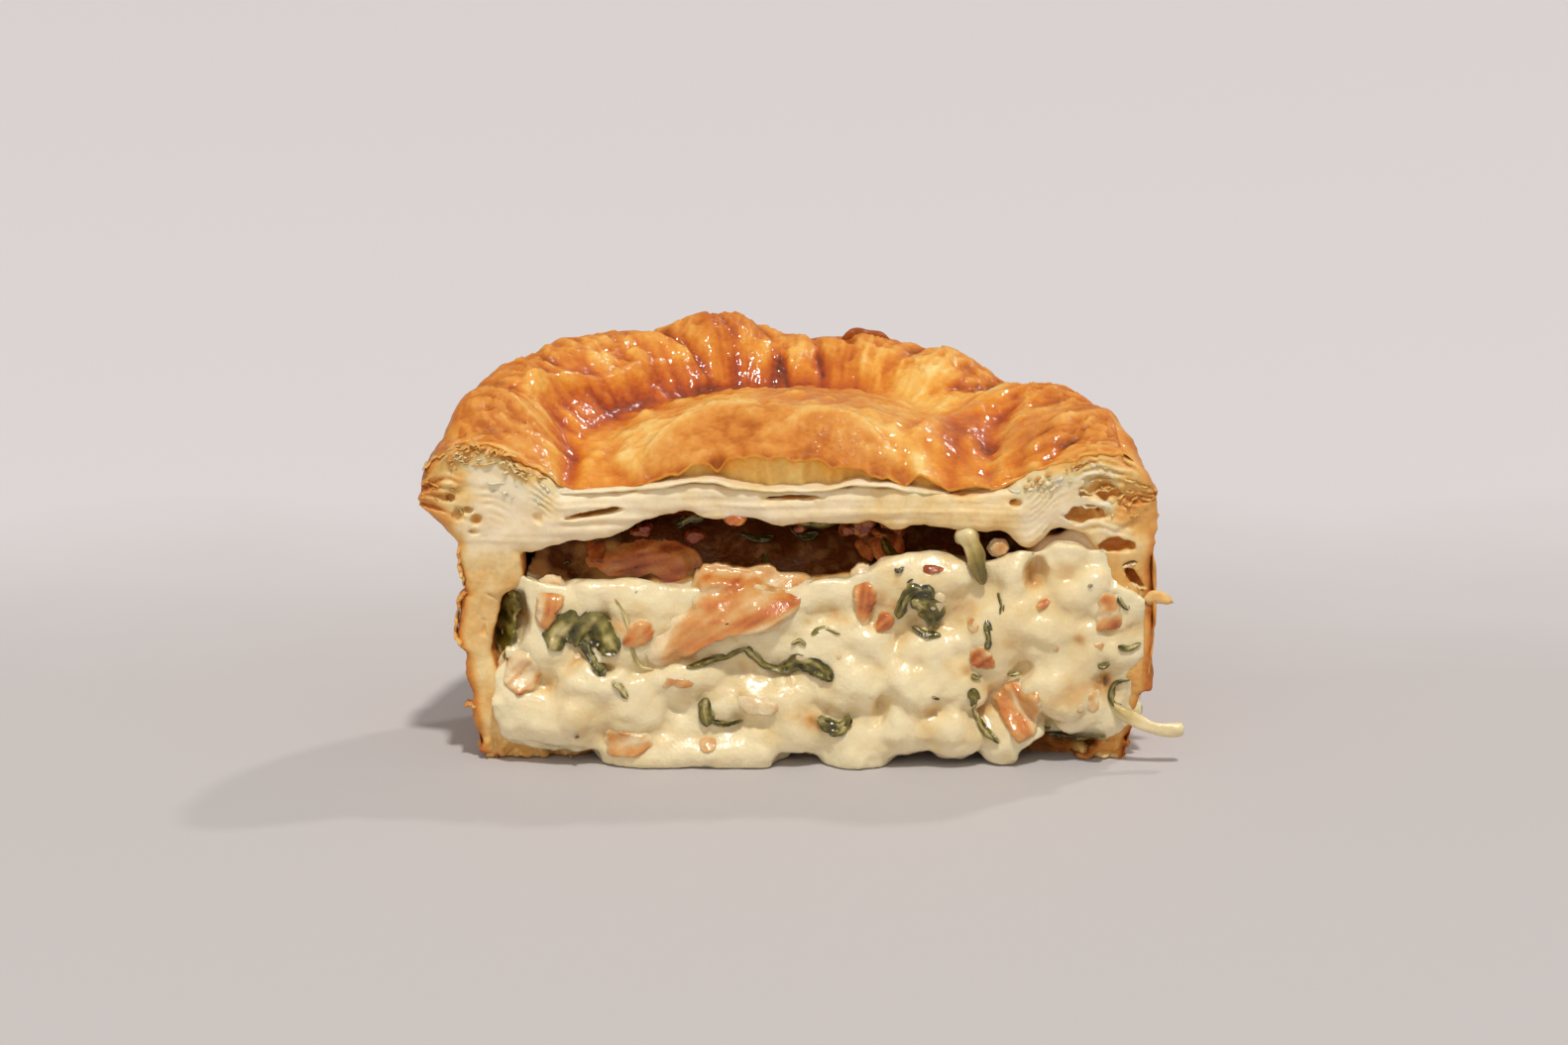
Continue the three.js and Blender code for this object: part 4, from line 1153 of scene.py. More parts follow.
def sauceField(x, y, z):
    radius = np.hypot(x - caseShift, np.maximum(y, 0))
    right = 4.5 * smooth(2, 8, z) - 0.6 * smooth(24, 30, z)
    left = 1.6 * smooth(23, 27, z) + 0.2
    shallow = smooth(1.5, 0.2, y)
    smear = np.where(x > 0, right * mix(shallow, smooth(6, 4, y), smooth(25, 28, z)), left * shallow)
    wall = radius - wallRadius(case["innerWall"], z) - smear + 0.7 * noise(x, y, z, 5.0, 149)
    bottom = 3.0 + 1.2 * noise(x, y, 0.0, 3.4, 143) * smooth(4, 0, y)
    field = np.maximum(np.maximum(wall, bottom - z), np.maximum(z - sauceTop(x, y), -0.6 - y))
    bentX = x + 1.6 * noise(x, y, z, 6.0, 145)
    bentZ = z + 1.6 * noise(x, y, z, 6.0, 147)
    for lump in sauce["lumps"]:
        field = smoothMin(field, ellipsoid(bentX, y, bentZ, lump), 1.3)
    field = np.maximum(field, wall - 0.3)
    for lump in sauce["runs"]:
        field = smoothMin(field, ellipsoid(x, y, z, lump), 1.6)
    for lump in sauce["hollows"]:
        field = smoothMax(field, -ellipsoid(x, y, z, lump), 0.7)
    front = smooth(6, 1, y)
    lumpy = 0.8 * np.abs(noise(x, y, z, 5.0, 153)) + 0.36 * np.abs(noise(x, y, z, 2.6, 155)) - 0.4
    lumpy = lumpy + 0.9 * noise(x, y, z, 11.0, 159)
    field = field - front * (lumpy + 0.12 * noise(x, y, z, 1.1, 157))
    return np.maximum(field, tableGap - z)


gridX = np.arange(*sauce["across"], sauce["step"])
gridY = np.concatenate([np.arange(*sauce["back"], sauce["step"]), np.linspace(*sauce["coarse"])])
gridZ = np.arange(*sauce["up"], sauce["step"])
field = sauceField(*np.ix_(gridX, gridY, gridZ))

# The sauce's front at each place across and up, for what lies on it
farFront = 9.0
inside = field < 0
frontMap = np.where(inside.any(axis=1), gridY[np.argmax(inside, axis=1)] - 0.5 * sauce["step"], farFront)
frontSoft = blurred(np.minimum(frontMap, farFront), 3)


def sauceFront(x, z, table):
    placeX = np.clip((x - gridX[0]) / sauce["step"], 0, len(gridX) - 1.001)
    placeZ = np.clip((z - gridZ[0]) / sauce["step"], 0, len(gridZ) - 1.001)
    i = placeX.astype(int)
    k = placeZ.astype(int)
    lower = mix(table[i, k], table[i + 1, k], placeX - i)
    upper = mix(table[i, k + 1], table[i + 1, k + 1], placeX - i)
    return mix(lower, upper, placeZ - k)


def sauceShape():
    x, y, z, faces = surfaceNet(field, gridX, gridY, gridZ)
    # crease holds painted shade, darker where the sauce lies behind its front and, less so to the left,
    # behind the cut under the lid, plus the sauce's real stains and specks
    recess = y - sauceFront(x, z, blurred(np.minimum(frontMap, 6.0), 6))
    shade = smooth(-20, 0, x)
    behind = smooth(mix(3.0, 1.5, shade), mix(11.0, 6.0, shade), y)
    crease = 0.14 + 0.2 * np.clip(recess, -1, 3) + 0.66 * behind * mix(0.62, 1.0, shade)
    crease = crease + 0.17 * layered(x, y, z, 8.0, 3, 161)
    crease = crease + 0.22 * smooth(0.25, 0.7, noise(x, y, z, 3.6, 165))
    blotch = 1 + 0.8 * noise(x, y, z, 2.4, 167)
    for stainX, stainZ, reach, amount in sauce["stains"]:
        crease = crease + amount * spot(x, z, stainX, stainZ, reach) * blotch
    blotch = 1 + 0.9 * noise(x, y, z, 1.4, 169)
    pick = np.random.default_rng(23)
    for k in range(sauce["specks"]):
        stainX, stainZ, reach = pick.uniform(-42, 50), pick.uniform(3, 32), pick.uniform(0.7, 2.4)
        away = ((x - stainX) ** 2 + 2.2 * (z - stainZ + 0.3 * (x - stainX)) ** 2) / reach**2
        crease = crease + pick.uniform(0.1, 0.34) * np.exp(-away) * blotch
    dry = 0.25 + 0.25 * noise(x, y, z, 6.0, 163)
    return shapeOf(x, y, z, faces, crease=np.clip(crease, 0, 1), dry=dry)


addPiece("sauce", sauceShape(), saucePaint, ["filling"])
print("sauce made")


# Distance to the outline of a closed polygon along each direction from its middle
def outlineReach(corners, angles):
    corners = np.asarray(corners, float)
    middle = corners.mean(axis=0)
    rim = corners - middle
    nextRim = np.roll(rim, -1, axis=0)
    reach = np.zeros_like(angles)
    for (ax, az), (bx, bz) in zip(rim, nextRim):
        across = np.cos(angles) * (bz - az) - np.sin(angles) * (bx - ax)
        across = np.where(np.abs(across) < 1e-9, 1e-9, across)
        out = (ax * (bz - az) - az * (bx - ax)) / across
        share = (ax * np.sin(angles) - az * np.cos(angles)) / across
        valid = (out > 0) & (share >= -1e-6) & (share <= 1 + 1e-6)
        reach = np.where(valid, np.maximum(reach, out), reach)
    soft = np.convolve(np.concatenate([reach[-3:], reach, reach[:3]]), np.ones(7) / 7, "valid")
    return middle, soft


# A slice of bacon with a given outline, its rim sunk in the sauce: lift in front of it, lean towards the top
def baconSlice(corners, thickness, lift, lean, tone, seed):
    span = np.ptp(np.asarray(corners, float), axis=0).max()
    spokes = int(np.clip(9 * span, 36, 108))
    steps = int(np.clip(span, 5, 11))
    rings = np.concatenate([np.linspace(0.02, 0.66, steps), np.linspace(0.7, 1.0, steps)])[:, None]
    angles = np.linspace(0, 2 * math.pi, spokes, endpoint=False)
    middle, reach = outlineReach(corners, angles)
    reach = reach * (1.1 + 0.13 * layered(np.cos(angles) * 3, np.sin(angles) * 3, seed, 1.0, 3, 171))
    x = middle[0] + rings * reach * np.cos(angles)
    z = middle[1] + rings * reach * np.sin(angles)
    if "flat" in tone:
        base = tone["flat"]
    else:
        base = np.minimum(sauceFront(x, z, frontSoft), tone.get("deepest", 0.4))
    base = base + lean * (z - middle[1])
    dome = smooth(1.0, 0.62, rings + 0.12 * noise(x, z, seed, 2.0, 172))
    ripple = 0.4 * layered(x, z, seed, 3.0, 3, 173)
    front = base + 0.7 - (0.7 + lift + ripple) * dome
    back = np.maximum(front + 0.3, base + thickness)
    film = smooth(0.75, 0.0, base - front + 0.3 * layered(x, z, seed, 1.8, 2, 180)) * tone.get("film", 1.0)
    x, z, film = (np.vstack([part, part[::-1]]) for part in (x, z, film))
    pale = tone["fat"] + 0.22 * layered(x, z, seed, 3.4, 2, 175)
    for spotX, spotZ, angle, long, short, change in tone.get("spots", []):
        length, away = alongAcross(x - spotX, z - spotZ, angle)
        away = away + 0.5 * noise(x, z, seed, 2.6, 177)
        pale = pale + change * np.exp(-((length / long) ** 2) - (away / short) ** 2)
    length, away = alongAcross(x, z, tone.get("grain", 0.7))
    pale = pale + 0.24 * noise(length / 3, away / 0.6, seed, 1.0)
    pale = np.clip(mix(pale, 0.95, 0.8 * film), 0, 1)
    y = np.vstack([front, back[::-1]])
    return shapeOf(x, y, z, gridFaces(*x.shape, closed=1), fat=pale, dry=0.25)


# Bacon slices: outline across and up, sizes (thickness, lift, lean), share of fat, run of the grain and
# spots of fat (above 0) or lean meat (below 0), one of them painted shade: across, up, angle, long and short
# reach, change
baconSlices = {
    "bacon_slab": {
        "corners": [(-21.4, 14.4), (-20.6, 19), (-15.6, 26), (-12, 29.4), (-2, 28.6), (4.4, 27.4),
                    (3.6, 25), (-3, 21.2), (-12, 19.4), (-16, 16.6)],
        "sizes": (3.4, 1.9, 0.1),
        "fat": 0.55,
        "grain": 0.55,
        "film": 0.6,
        "spots": [(-18.6, 20.5, 1.15, 9, 1.5, 0.4), (-0.6, 25.2, 0.45, 5, 1.5, -0.36),
                  (-14, 19.6, 0.75, 5, 1.3, -0.22), (-5, 21.6, 0.4, 8, 1.0, 0.36),
                  # The first spot on the next line darkens the slab's top edge: painted shade
                  (-8, 28.8, -0.1, 8, 1.3, -0.3), (-12, 26.4, 0.6, 3, 0.8, 0.3),
                  (-8, 25, 0.5, 6, 0.8, 0.14)],
    },
    "bacon_corner": {
        "corners": [(30.2, 10.6), (33.7, 13), (37.6, 12.8), (38.4, 9), (37.4, 2.8), (35.2, 1.6),
                    (31.4, 7.6)],
        "sizes": (3.0, 1.2, 0.02),
        "fat": 0.46,
        "grain": -0.9,
        "spots": [(35.7, 8, -1.08, 6, 0.4, 0.4), (37.9, 9, 1.4, 4, 0.5, 0.3),
                  (32.4, 8.4, -1, 3, 1.2, -0.08)],
    },
    "bacon_upright": {
        "corners": [(9.4, 30), (12.8, 29.6), (13.4, 26), (11.6, 21.4), (10, 21.4), (9.2, 26)],
        "sizes": (2.4, 0.6, 0.05),
        "fat": 0.42,
        "grain": 1.5,
        "spots": [(9.8, 25, 1.5, 4, 0.5, 0.3), (12.4, 29, 0, 2, 1, -0.1)],
    },
    "bacon_wedge": {
        "corners": [(12.4, 20.4), (13.8, 24.6), (15.6, 23.6), (16, 21.2)],
        "sizes": (2.2, 0.7, 0.0),
        "fat": 0.4,
    },
    "bacon_left_top": {
        "corners": [(-38.8, 21.4), (-38.4, 27.4), (-35.2, 28.6), (-33.2, 26), (-35.6, 22.4), (-37, 20.4)],
        "sizes": (2.6, 0.8, 0.05),
        "fat": 0.5,
        "grain": 1.3,
        "spots": [(-38, 25, 1.4, 3, 0.7, 0.34), (-35.4, 25.6, 1.2, 2, 0.9, -0.14)],
    },
    "bacon_left": {
        "corners": [(-43.8, 12), (-44, 16.6), (-41, 18.4), (-37, 15.4), (-37.8, 12), (-41, 10.4)],
        "sizes": (2.8, 0.9, 0.02),
        "fat": 0.9,
        "spots": [(-43.2, 16, 1.2, 1.6, 0.8, -0.6), (-37.8, 14.2, 1.2, 2, 0.7, -0.5),
                  (-40.6, 11.2, 0.1, 2.2, 0.8, -0.7)],
    },
    "bacon_foot": {
        "corners": [(-28, 1.6), (-28.4, 6.6), (-24, 6), (-19.6, 5.4), (-20.6, 3), (-24.4, 1.4)],
        "sizes": (2.6, 0.5, 0.0),
        "fat": 0.62,
        "spots": [(-27.2, 4, 1.8, 2.4, 0.6, -0.2), (-23.4, 4.4, 0.3, 2, 0.6, 0.2)],
    },
    "bacon_middle": {
        "corners": [(-8.8, 9), (-8, 11.4), (-3, 11.8), (-0.8, 10), (-2.4, 8.4), (-6, 8)],
        "sizes": (2.2, 0.5, 0.0),
        "fat": 0.86,
        "spots": [(-1.6, 10, 0.2, 1.4, 0.7, -0.3)],
    },
    "bacon_red": {
        "corners": [(26.6, 16), (27.2, 19.4), (29, 20), (30.6, 17.6), (32, 15.4), (29, 14.6)],
        "sizes": (2.2, 0.6, 0.0),
        "fat": 0.3,
        "spots": [(28, 17.4, 1.2, 1.2, 1.0, -0.4), (31, 16, 0.6, 1, 0.7, -0.2),
                  (29.8, 18, 0.8, 2, 0.5, 0.5)],
    },
    "bacon_right": {
        "corners": [(46, 21), (46.2, 27), (48, 28), (50, 25), (50.6, 21.4), (48.6, 20)],
        "sizes": (2.4, 0.6, 0.0),
        "fat": 0.5,
        "spots": [(47.4, 25.6, -0.8, 1.6, 0.8, -0.3), (49.4, 21.6, 0.6, 1.2, 0.8, -0.4),
                  (48, 23.4, 0.2, 2, 0.5, 0.3)],
    },
    "bacon_behind": {
        "corners": [(-25.4, 18.6), (-25, 22), (-21.4, 23.2), (-20, 20.4), (-22, 18.2)],
        "sizes": (2.2, 0.7, 0.0),
        "fat": 0.44,
        "spots": [(-24.6, 19.6, 0.3, 1.4, 0.8, -0.3), (-21.4, 21.4, 1.2, 1.4, 0.7, -0.2)],
    },
    "bacon_strip": {
        "corners": [(-33, 25.6), (-32, 30.4), (-26, 31.2), (-22, 32.4), (-15, 31.2), (-14.2, 26),
                    (-22, 25.4)],
        "sizes": (2.6, 0.6, 0.5),
        "fat": 0.28,
        "grain": 0.1,
        "film": 0.0,
        "spots": [(-24, 31.6, 0.1, 6, 0.6, 0.2)],
        "seed": 29,
        "flat": 6.2,
    },
}

for k, (name, piece) in enumerate(baconSlices.items()):
    shape = baconSlice(piece["corners"], *piece["sizes"], piece, piece.get("seed", 3 + k))
    addPiece(name + "_slice", shape, baconPaint, [name])
print("bacon made")


# A cooked leaf along a line across and up; tilt 0 shows its edge and 1 its face, hooded over the sauce
def leafShape(corners, width, tilt, lift, light, seed):
    length = np.linalg.norm(np.diff(np.asarray(corners, float), axis=0), axis=1).sum()
    count = int(np.clip(6 * length, 20, 90))
    rows = int(np.clip(7 * width, 9, 25))
    line = curveThrough(corners, count)
    normal = lineNormals(line)
    share = np.linspace(0, 1, count)
    across = np.linspace(-1, 1, rows)[:, None]
    place = share * length
    torn = 1 + 0.4 * layered(place / 2.0, 3 * np.sign(across), seed, 1.0, 3, 181)
    half = 0.5 * width * np.sqrt(np.clip(1 - (2 * share - 1) ** 4, 0.02, 1)) * torn
    ruffle = 0.5 * noise(place / 1.5, across * 1.5, seed, 1.0, 183)
    ruffle = ruffle + 0.4 * noise(place / 0.8, across * 3, seed, 1.0, 185)
    side = across * half * tilt + ruffle * (1 - tilt) * 0.7
    x = line[:, 0] + normal[:, 0] * side
    z = line[:, 1] + normal[:, 1] * side
    arch = 1 - across**2
    hood = -lift * mix(1.0, 0.4 + 0.4 * arch, tilt)
    y = sauceFront(x, z, frontSoft) + hood + across * half * (1 - tilt) - 0.9 * ruffle * tilt
    thick = 0.12 + 0.04 * noise(place, across * 2, seed, 1.0, 187)
    upright = thick * (1 - tilt)
    middle = np.stack([x, y, z])
    offset = np.stack([normal[:, 0] * upright, -thick * tilt, normal[:, 1] * upright])
    faces = gridFaces(2 * rows, count, closed=0)
    both = np.concatenate([middle + offset, (middle - offset)[:, ::-1]], axis=1)
    milky = 0.66 * arch**2 * tilt * smooth(-0.2, 0.4, noise(place / 2.5, across, seed, 1.0, 188))
    # The ruffle term paints the leaf lighter where it stands forward and darker in its dips: painted light
    # and shade
    mask = light - 0.05 + milky + 0.5 * ruffle + 0.26 * noise(place / 0.7, across * 3, seed, 1.0, 189)
    mask = np.clip(np.concatenate([mask, mask[::-1]]), 0, 1)
    return shapeOf(*both, faces, light=mask, dry=0.1)


# Leaves: blades of a line, width, tilt, lift and lightness
leaves = {
    "spinach_curl": [
        ([(-36.4, 18.4), (-34.4, 20.8), (-31.6, 21.2), (-28.6, 20.2), (-26, 18)], 5.2, 0.9, 0.7, 0.2),
        ([(-32, 20), (-30.6, 17.8), (-29.2, 16), (-28, 14.6)], 2.0, 0.8, 0.8, 0.12),
    ],
    "spinach_long": [
        ([(-15.6, 15.6), (-12.6, 16.4), (-9.4, 17.2), (-7, 18.4), (-5.6, 17.2), (-3.6, 15.6), (-1, 14.8),
          (1.4, 15.4)], 1.7, 0.5, 0.5, 0.24),
        ([(-1.2, 14.6), (0.8, 15.8), (3, 16), (5.2, 15), (6.4, 14)], 3.2, 0.85, 0.8, 0.2),
    ],
    "spinach_hook": [
        ([(-12.8, 10.8), (-12.8, 8.8), (-12.6, 6.4)], 2.4, 0.85, 0.6, 0.2),
        ([(-13, 8.4), (-11.4, 7.2), (-9.4, 6.8), (-7.2, 7.4)], 1.3, 0.7, 0.6, 0.15),
    ],
    "spinach_scrap": [
        ([(4.2, 8), (5.8, 7), (7.4, 6.4), (9.4, 7.8)], 2.4, 0.8, 0.6, 0.2),
        ([(6, 5.4), (7.6, 6.2), (9, 8.4)], 1.6, 0.8, 0.7, 0.2),
    ],
    "spinach_folded": [
        ([(16.4, 23), (17, 26), (18.6, 27.6), (20.6, 27.4), (21.6, 26.4)], 2.6, 0.7, 0.9, 0.14),
        ([(18.2, 26), (20, 25.4), (21.2, 24), (22, 21.6)], 4.0, 0.9, 0.9, 0.34),
        ([(18.4, 21.6), (20.4, 20.6), (22.8, 20.4)], 1.4, 0.7, 0.6, 0.16),
    ],
    "spinach_strip": [
        ([(27, 12.4), (28, 11.2), (27.8, 9.4)], 1.9, 0.85, 0.6, 0.2),
        ([(27.8, 9.8), (28.6, 7.4), (30, 5.4), (31.6, 4)], 1.3, 0.7, 0.6, 0.34),
    ],
    "spinach_loop": [([(51.6, 13), (49.6, 12.6), (48.8, 11), (49.4, 9.4), (50.4, 9)], 1.5, 0.6, 0.5, 0.14)],
    "spinach_bottom": [([(39.4, 4.2), (42, 3.2), (45, 3.4), (48.2, 4.0)], 2.4, 0.8, 4.4, 0.1)],
    "spinach_wall": [([(-42.2, 26.5), (-43.3, 22.5), (-44.3, 18.5), (-45, 15)], 5.4, 0.85, 2.6, 0.3)],
    "spinach_slip": [([(29.6, 23), (30, 20.6), (29.8, 18.6)], 1.5, 0.8, 0.5, 0.2)],
    "spinach_roof": [([(-0.6, 36.6), (4, 36), (9, 36.6), (12.8, 36.4)], 2.6, 0.6, 4.6, 0.35)],
}

for seed, (name, blades) in enumerate(leaves.items()):
    shapes = [leafShape(*blade, 201 + 5 * seed + k) for k, blade in enumerate(blades)]
    addPiece(name + "_leaf", joined(shapes), leafPaint, [name])
print("spinach made")


# Line across and up laid on the sauce, lift in front of it
def onSauce(corners, lift):
    x, z = np.asarray(corners, float).T
    return np.stack([x, sauceFront(x, z, frontSoft) - lift, z], -1)


# A stalk along a line, with its radius and its lightness at even steps
def tube(line, radii, light, seed):
    count = 60
    around = 18
    line = curveThrough(line, count)
    share = np.linspace(0, 1, count)
    step = np.gradient(line, axis=0)
    step = step / np.linalg.norm(step, axis=1)[:, None]
    side = np.cross(step, (0.0, 1.0, 0.0))
    side = side / np.linalg.norm(side, axis=1)[:, None]
    up = np.cross(side, step)
    thick = along(radii, share) * np.sqrt(np.clip(1 - (2 * share - 1) ** 16, 0.02, 1))
    turn = np.linspace(0, 2 * math.pi, around, endpoint=False)[None, :, None]
    cosine = np.cos(turn)
    sine = np.sin(turn)
    place = share[:, None, None]
    ridge = 1 + 0.26 * noise(cosine * 1.4, sine * 1.4, place * 5 + seed, 1.0, 193)
    ring = side[:, None, :] * cosine + 0.86 * up[:, None, :] * sine
    points = line[:, None, :] + ring * ridge * thick[:, None, None]
    streaks = noise(cosine * 2, sine * 2, place * 2 + seed, 1.0, 191)[..., 0]
    mask = np.clip(along(light, share)[:, None] + 0.3 * streaks, 0, 1)
    return shapeOf(*np.moveaxis(points, -1, 0), gridFaces(count, around, closed=1), light=mask, dry=0.3)


# Stems: line across, back and up, radius and lightness at even steps
stems = {
    "stem_upper": (
        [(26.2, 1.2, 36.6), (27.2, -0.6, 34.4), (28.2, -1.2, 31.6), (29.2, -1.6, 28)],
        [1.6, 2.0, 1.4, 1.35, 1.2, 0.6],
        [0.62, 0.74, 0.5, 0.25, 0.05, 0.0],
    ),
    "stem_side": (
        [(48.6, -2.0, 9.6), (51, -2.6, 7.8), (54, -2.8, 6.4), (57, -2.8, 5.6), (59.9, -2.8, 5.7)],
        [0.7, 1.1, 0.95, 1.0, 1.15],
        [0.5, 0.6, 0.75, 0.8, 0.85],
    ),
}
for k, (name, stem) in enumerate(stems.items()):
    addPiece(name + "_stalk", tube(*stem, 1 + k), stemPaint, [name])
thread = onSauce([(-26.4, 26), (-24.6, 23), (-23.8, 18.6), (-22.6, 15.6), (-20.6, 15.2)], 0.1)
shape = tube(thread, [0.2, 0.32, 0.3, 0.34, 0.2], [0.2, 0.5, 0.3, 0.6, 0.5], 3)
addPiece("stem_thread", shape, stemPaint)
print("stems made")

# Bits in the shade under the lid, their sizes as above, and leaves as a line and a width
shaded = {
    "bits": 16,
    "bitSizes": (2.0, 0.4, 0.0),
    "redSizes": (1.6, 0.5, 0.0),
    "redTone": {"fat": 0.3, "film": 0.0, "flat": -0.5},
    "redBit": [(-10.2, 37.4), (-9.6, 38.6), (-7, 38.6), (-6.4, 37.4), (-8.2, 36.8)],
    "leaves": [
        ([(-30, 32.4), (-28, 33.4), (-26.4, 33)], 1.6),
        ([(-17.4, 34.6), (-15.4, 35.8), (-13, 36)], 1.8),
        ([(-8, 33.4), (-5, 32.8), (-2.4, 33)], 1.2),
        ([(-4, 30.8), (-3.6, 29.6), (-3.2, 28.6)], 1.4),
        ([(0, 34.4), (2, 33), (4.4, 33.4)], 1.6),
        ([(14, 33), (16, 31.6), (16.4, 30)], 2.4),
    ],
}
pick = np.random.default_rng(77)
bits = []
for k in range(shaded["bits"]):
    x, z, size = pick.uniform(-34, 22), pick.uniform(31, 35.6), pick.uniform(1.2, 2.6)
    turns = np.sort(pick.uniform(0, 2 * math.pi, 6))
    corners = np.column_stack([x + size * 1.4 * np.cos(turns), z + 0.7 * size * np.sin(turns)])
    tone = {"fat": pick.uniform(-0.1, 0.24), "film": 0.0, "deepest": farFront}
    bits.append(baconSlice(corners, *shaded["bitSizes"], tone, 501 + k))
bits.append(baconSlice(shaded["redBit"], *shaded["redSizes"], shaded["redTone"], 520))
addPiece("shaded_bits", joined(bits), baconPaint)
blades = [leafShape(*blade, 0.7, 0.5, 0.0, 601 + k) for k, blade in enumerate(shaded["leaves"])]
addPiece("shaded_leaves", joined(blades), leafPaint)


# A tube of baked pastry, with one value for each mask
def crumbShape(line, radii, seed, **masks):
    shape = tube(line, radii, [0, 0], seed)
    shape["masks"] = {name: np.full(len(shape["points"]), value) for name, value in masks.items()}
    return shape


# A pointed flake that stands off the right wall, and a burnt crumb on the rim
flakeLine = [(53.6, 0.6, 25.0), (55.4, 0.2, 25.6), (57.0, 0.0, 25.2), (58.2, 0.2, 24.7)]
shape = crumbShape(flakeLine, [1.2, 1.1, 0.7, 0.1], 8, bake=0.3)
addPiece("wall_flake", shape, casePaint)
crumbLine = [(8.4, 46, 56.2), (11, 46.6, 57), (14, 46.6, 56.6), (16.4, 46, 55.2)]
shape = crumbShape(crumbLine, [0.5, 1.1, 0.7, 1.2, 0.6], 9, bake=0.8, wash=0.3)
addPiece("rim_crumb", shape, crustPaint)

# Small scraps on the sauce. Bacon: outline and share of fat. Leaf and pepper: line, width and lightness
scraps = {
    "baconSizes": (1.4, 0.28, 0.0),
    "leafTilt": 0.7,
    "leafLift": 0.4,
    "bacon": [
        ([(-20.8, 12.6), (-20.4, 14.4), (-14, 14), (-13.4, 12.4)], 0.5),
        ([(36.6, 23.8), (37.4, 25.8), (39.6, 26.4), (39.4, 25)], 0.1),
        ([(39.6, 18), (39.8, 19), (40.6, 19), (40.6, 17.8)], 0.0),
        ([(45.4, 17.6), (45.8, 19.4), (47.8, 19.6), (47.6, 17.6)], 0.3),
        ([(44.8, 8), (45, 11.8), (47.6, 12.2), (47.2, 8.2)], 0.4),
        ([(2.4, 0.6), (2.6, 2.4), (5.2, 2.4), (5.2, 0.5)], 0.1),
        ([(-14, 2.8), (-13.6, 4.8), (-10.8, 5), (-11, 2.8)], 0.4),
        ([(7, 17), (7, 17.8), (7.8, 17.8), (7.8, 17)], 0.0),
        ([(26.8, 21), (26.8, 23), (28.6, 23), (28.4, 20.8)], 0.25),
        ([(29.8, 32.4), (30.4, 34.4), (33, 34), (32.4, 31.6)], 0.6),
        ([(20, 24), (20.6, 27), (23.6, 27.4), (24, 23)], 0.85),
        ([(43, 8.6), (43.6, 10.4), (44.6, 10), (44.6, 8.2)], 0.5),
        ([(22, 1.4), (22.6, 2.6), (26, 2.2), (25.6, 1.0)], 0.1),
    ],
    "leaf": [
        ([(3.2, 20.6), (5.4, 21.4), (7.6, 20.8)], 1.0, 0.4),
        ([(0.2, 19), (1.4, 19.6), (2.4, 19)], 0.9, 0.4),
        ([(31.4, 26.8), (32, 25.2), (31.6, 24)], 0.9, 0.25),
        ([(27.4, 14.6), (28.2, 14), (29, 14.4)], 0.9, 0.3),
        ([(33, 14.2), (34, 14), (35, 14.4)], 1.0, 0.3),
        ([(49.6, 18.6), (51.4, 18.2), (53.2, 18.8)], 1.3, 0.35),
        ([(46.6, 15.8), (47.4, 15.4), (48.4, 15.8)], 1.2, 0.25),
        ([(49.6, 26.2), (50.4, 25), (51.2, 24.2)], 1.2, 0.3),
        ([(-26.8, 14.2), (-25.6, 12.8), (-24.6, 11.2)], 1.5, 0.45),
        ([(38.2, 5.6), (39, 5.2), (39.8, 5.4)], 1.2, 0.3),
        ([(-34.6, 29.3), (-34, 29.6), (-33.4, 29.4)], 0.5, 0.0),
        ([(17.6, 28.6), (18, 29), (18.5, 29.2)], 0.4, 0.0),
        ([(21.4, 11.8), (22, 11.4), (22.6, 11.2)], 0.5, 0.0),
        ([(44.9, 28), (45.2, 28.3), (45.5, 28.2)], 0.5, 0.0),
        ([(-32.5, 4.8), (-32.2, 5.1), (-31.9, 5)], 0.4, 0.0),
        ([(-23.3, 27), (-22.9, 27.4), (-22.4, 27.8)], 0.6, 0.0),
    ],
}
slices = [
    baconSlice(corners, *scraps["baconSizes"], {"fat": fat}, 301 + k)
    for k, (corners, fat) in enumerate(scraps["bacon"])
]
addPiece("bacon_scraps", joined(slices), baconPaint)
blades = [
    leafShape(corners, width, scraps["leafTilt"], scraps["leafLift"], light, 401 + k)
    for k, (corners, width, light) in enumerate(scraps["leaf"])
]
addPiece("spinach_scraps", joined(blades), leafPaint)
print("scraps made")

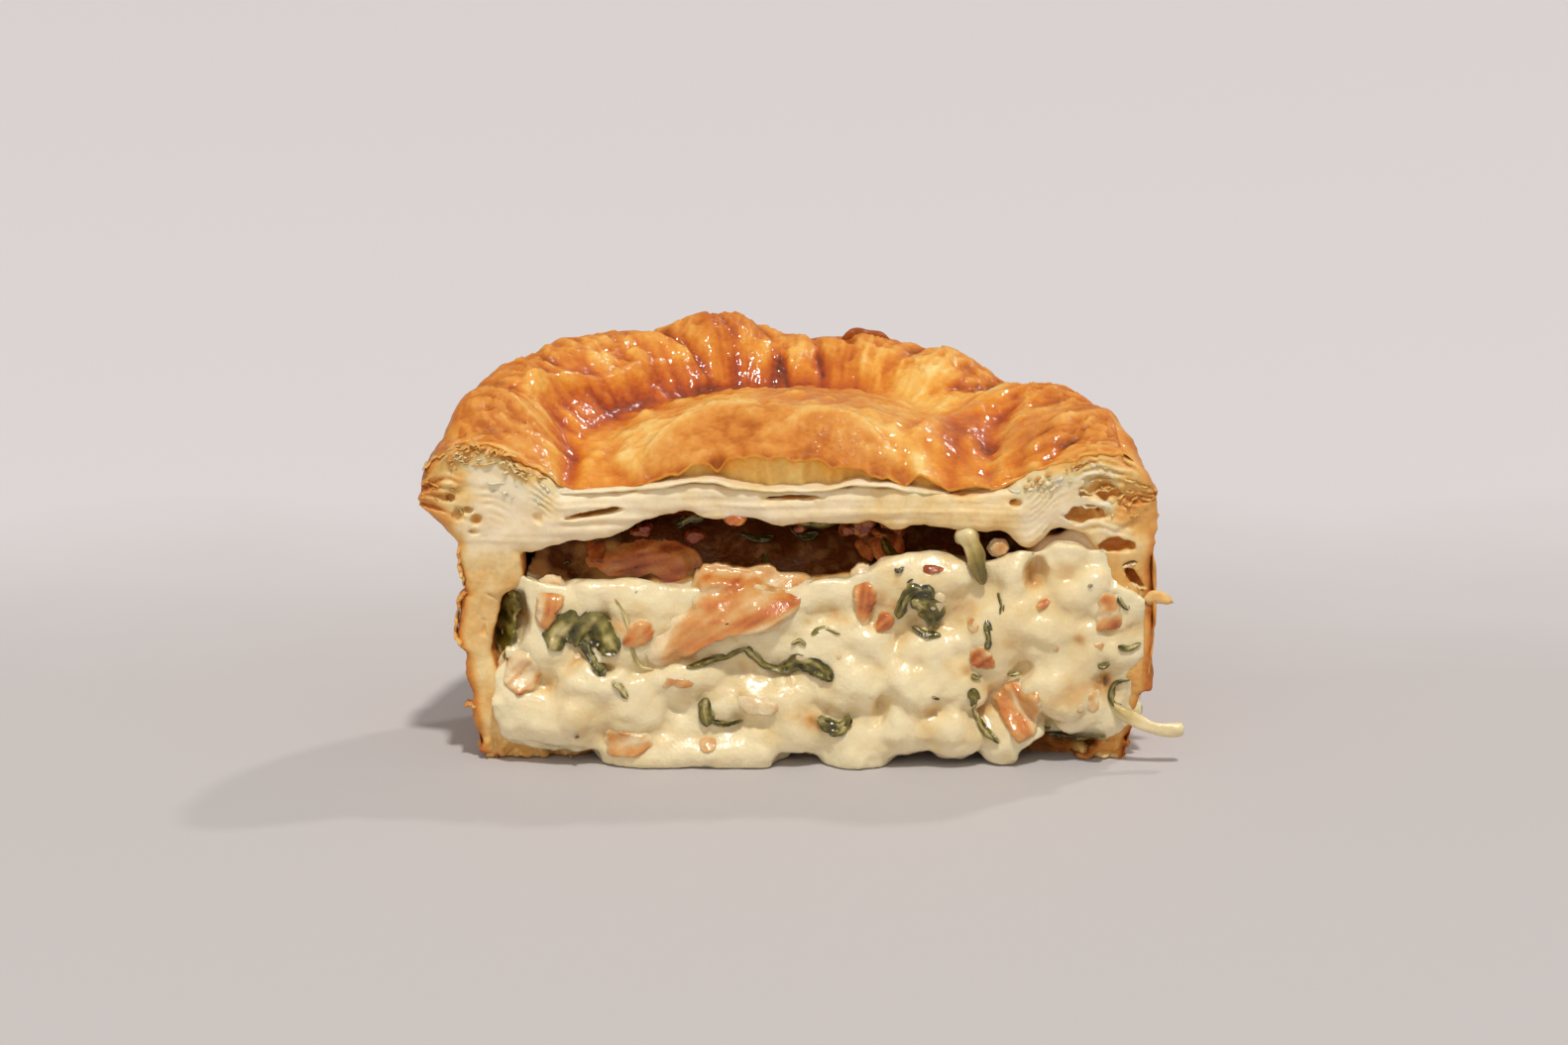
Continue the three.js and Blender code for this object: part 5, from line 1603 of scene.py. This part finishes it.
# Pale floor, daylight from in front and above, a sun from behind for the gleams, and the photo's camera
stage = {
    "floorTints": [(0.1, (189, 183, 181)), (0.6, (208, 203, 203))],
    "lightTarget": (0.0, 0.0, 0.03),
    "roomTint": (0.9, 0.88, 0.88, 1.0),
    "roomPower": 0.4,
    "lens": 85.4,
    "sensor": 36.0,
    "cameraPlace": (-0.0034, -0.5644, 0.1728),
    "cameraTarget": (-0.0034, -0.021, 0.0373),
}
floorPaint, tree, shader = newMaterial("paleFloor", Roughness=0.75)
floorPlace = addNode(tree, "ShaderNodeSeparateXYZ")
tree.links.new(addNode(tree, "ShaderNodeTexCoord").outputs["Object"], floorPlace.inputs[0])
distance = addScaled(tree, floorPlace.outputs["Y"], 4.0, 3.85)
distance = addScaled(tree, addNoise(tree, 60.0, 4.0), 0.3, distance)
floorTint = addRamp(tree, distance, stage["floorTints"])
tree.links.new(floorTint, shader.inputs["Base Color"])
bpy.ops.mesh.primitive_plane_add(size=6.0, location=(0, 1.0, 0))
floor = bpy.context.object
floor.name = "floor"
floor.data.materials.append(floorPaint)


def aim(holder, place, target):
    gaze = Vector(target) - Vector(place)
    holder.location = place
    holder.rotation_euler = gaze.to_track_quat("-Z", "Y").to_euler()


def addLight(name, kind, place, power, tint, mirrored=True):
    lamp = bpy.data.lights.new(name, kind)
    lamp.energy = power
    lamp.color = tint
    holder = bpy.data.objects.new(name, lamp)
    holder.visible_glossy = mirrored
    bpy.context.scene.collection.objects.link(holder)
    aim(holder, place, stage["lightTarget"])
    return lamp


addLight("key", "SUN", (0.1, -0.42, 1.0), 2.1, (1.0, 0.975, 0.94)).angle = math.radians(4)
addLight("gloss", "SUN", (0.5, 0.46, 0.72), 0.6, (1.0, 0.98, 0.95)).angle = math.radians(3)
addLight("fill", "AREA", (-0.4, -1.1, 0.4), 4.0, (1.0, 0.99, 0.97), False).size = 1.2
world = bpy.data.worlds.new("paleRoom")
bpy.context.scene.world = world
world.use_nodes = True
background = world.node_tree.nodes["Background"]
background.inputs["Color"].default_value = stage["roomTint"]
background.inputs["Strength"].default_value = stage["roomPower"]

cameraData = bpy.data.cameras.new("camera")
cameraData.lens = stage["lens"]
cameraData.sensor_width = stage["sensor"]
cameraData.clip_end = 20.0
camera = bpy.data.objects.new("camera", cameraData)
bpy.context.scene.collection.objects.link(camera)
aim(camera, stage["cameraPlace"], stage["cameraTarget"])
bpy.context.scene.camera = camera
bpy.context.scene.view_settings.view_transform = "Standard"
print("floor, lights and camera set")
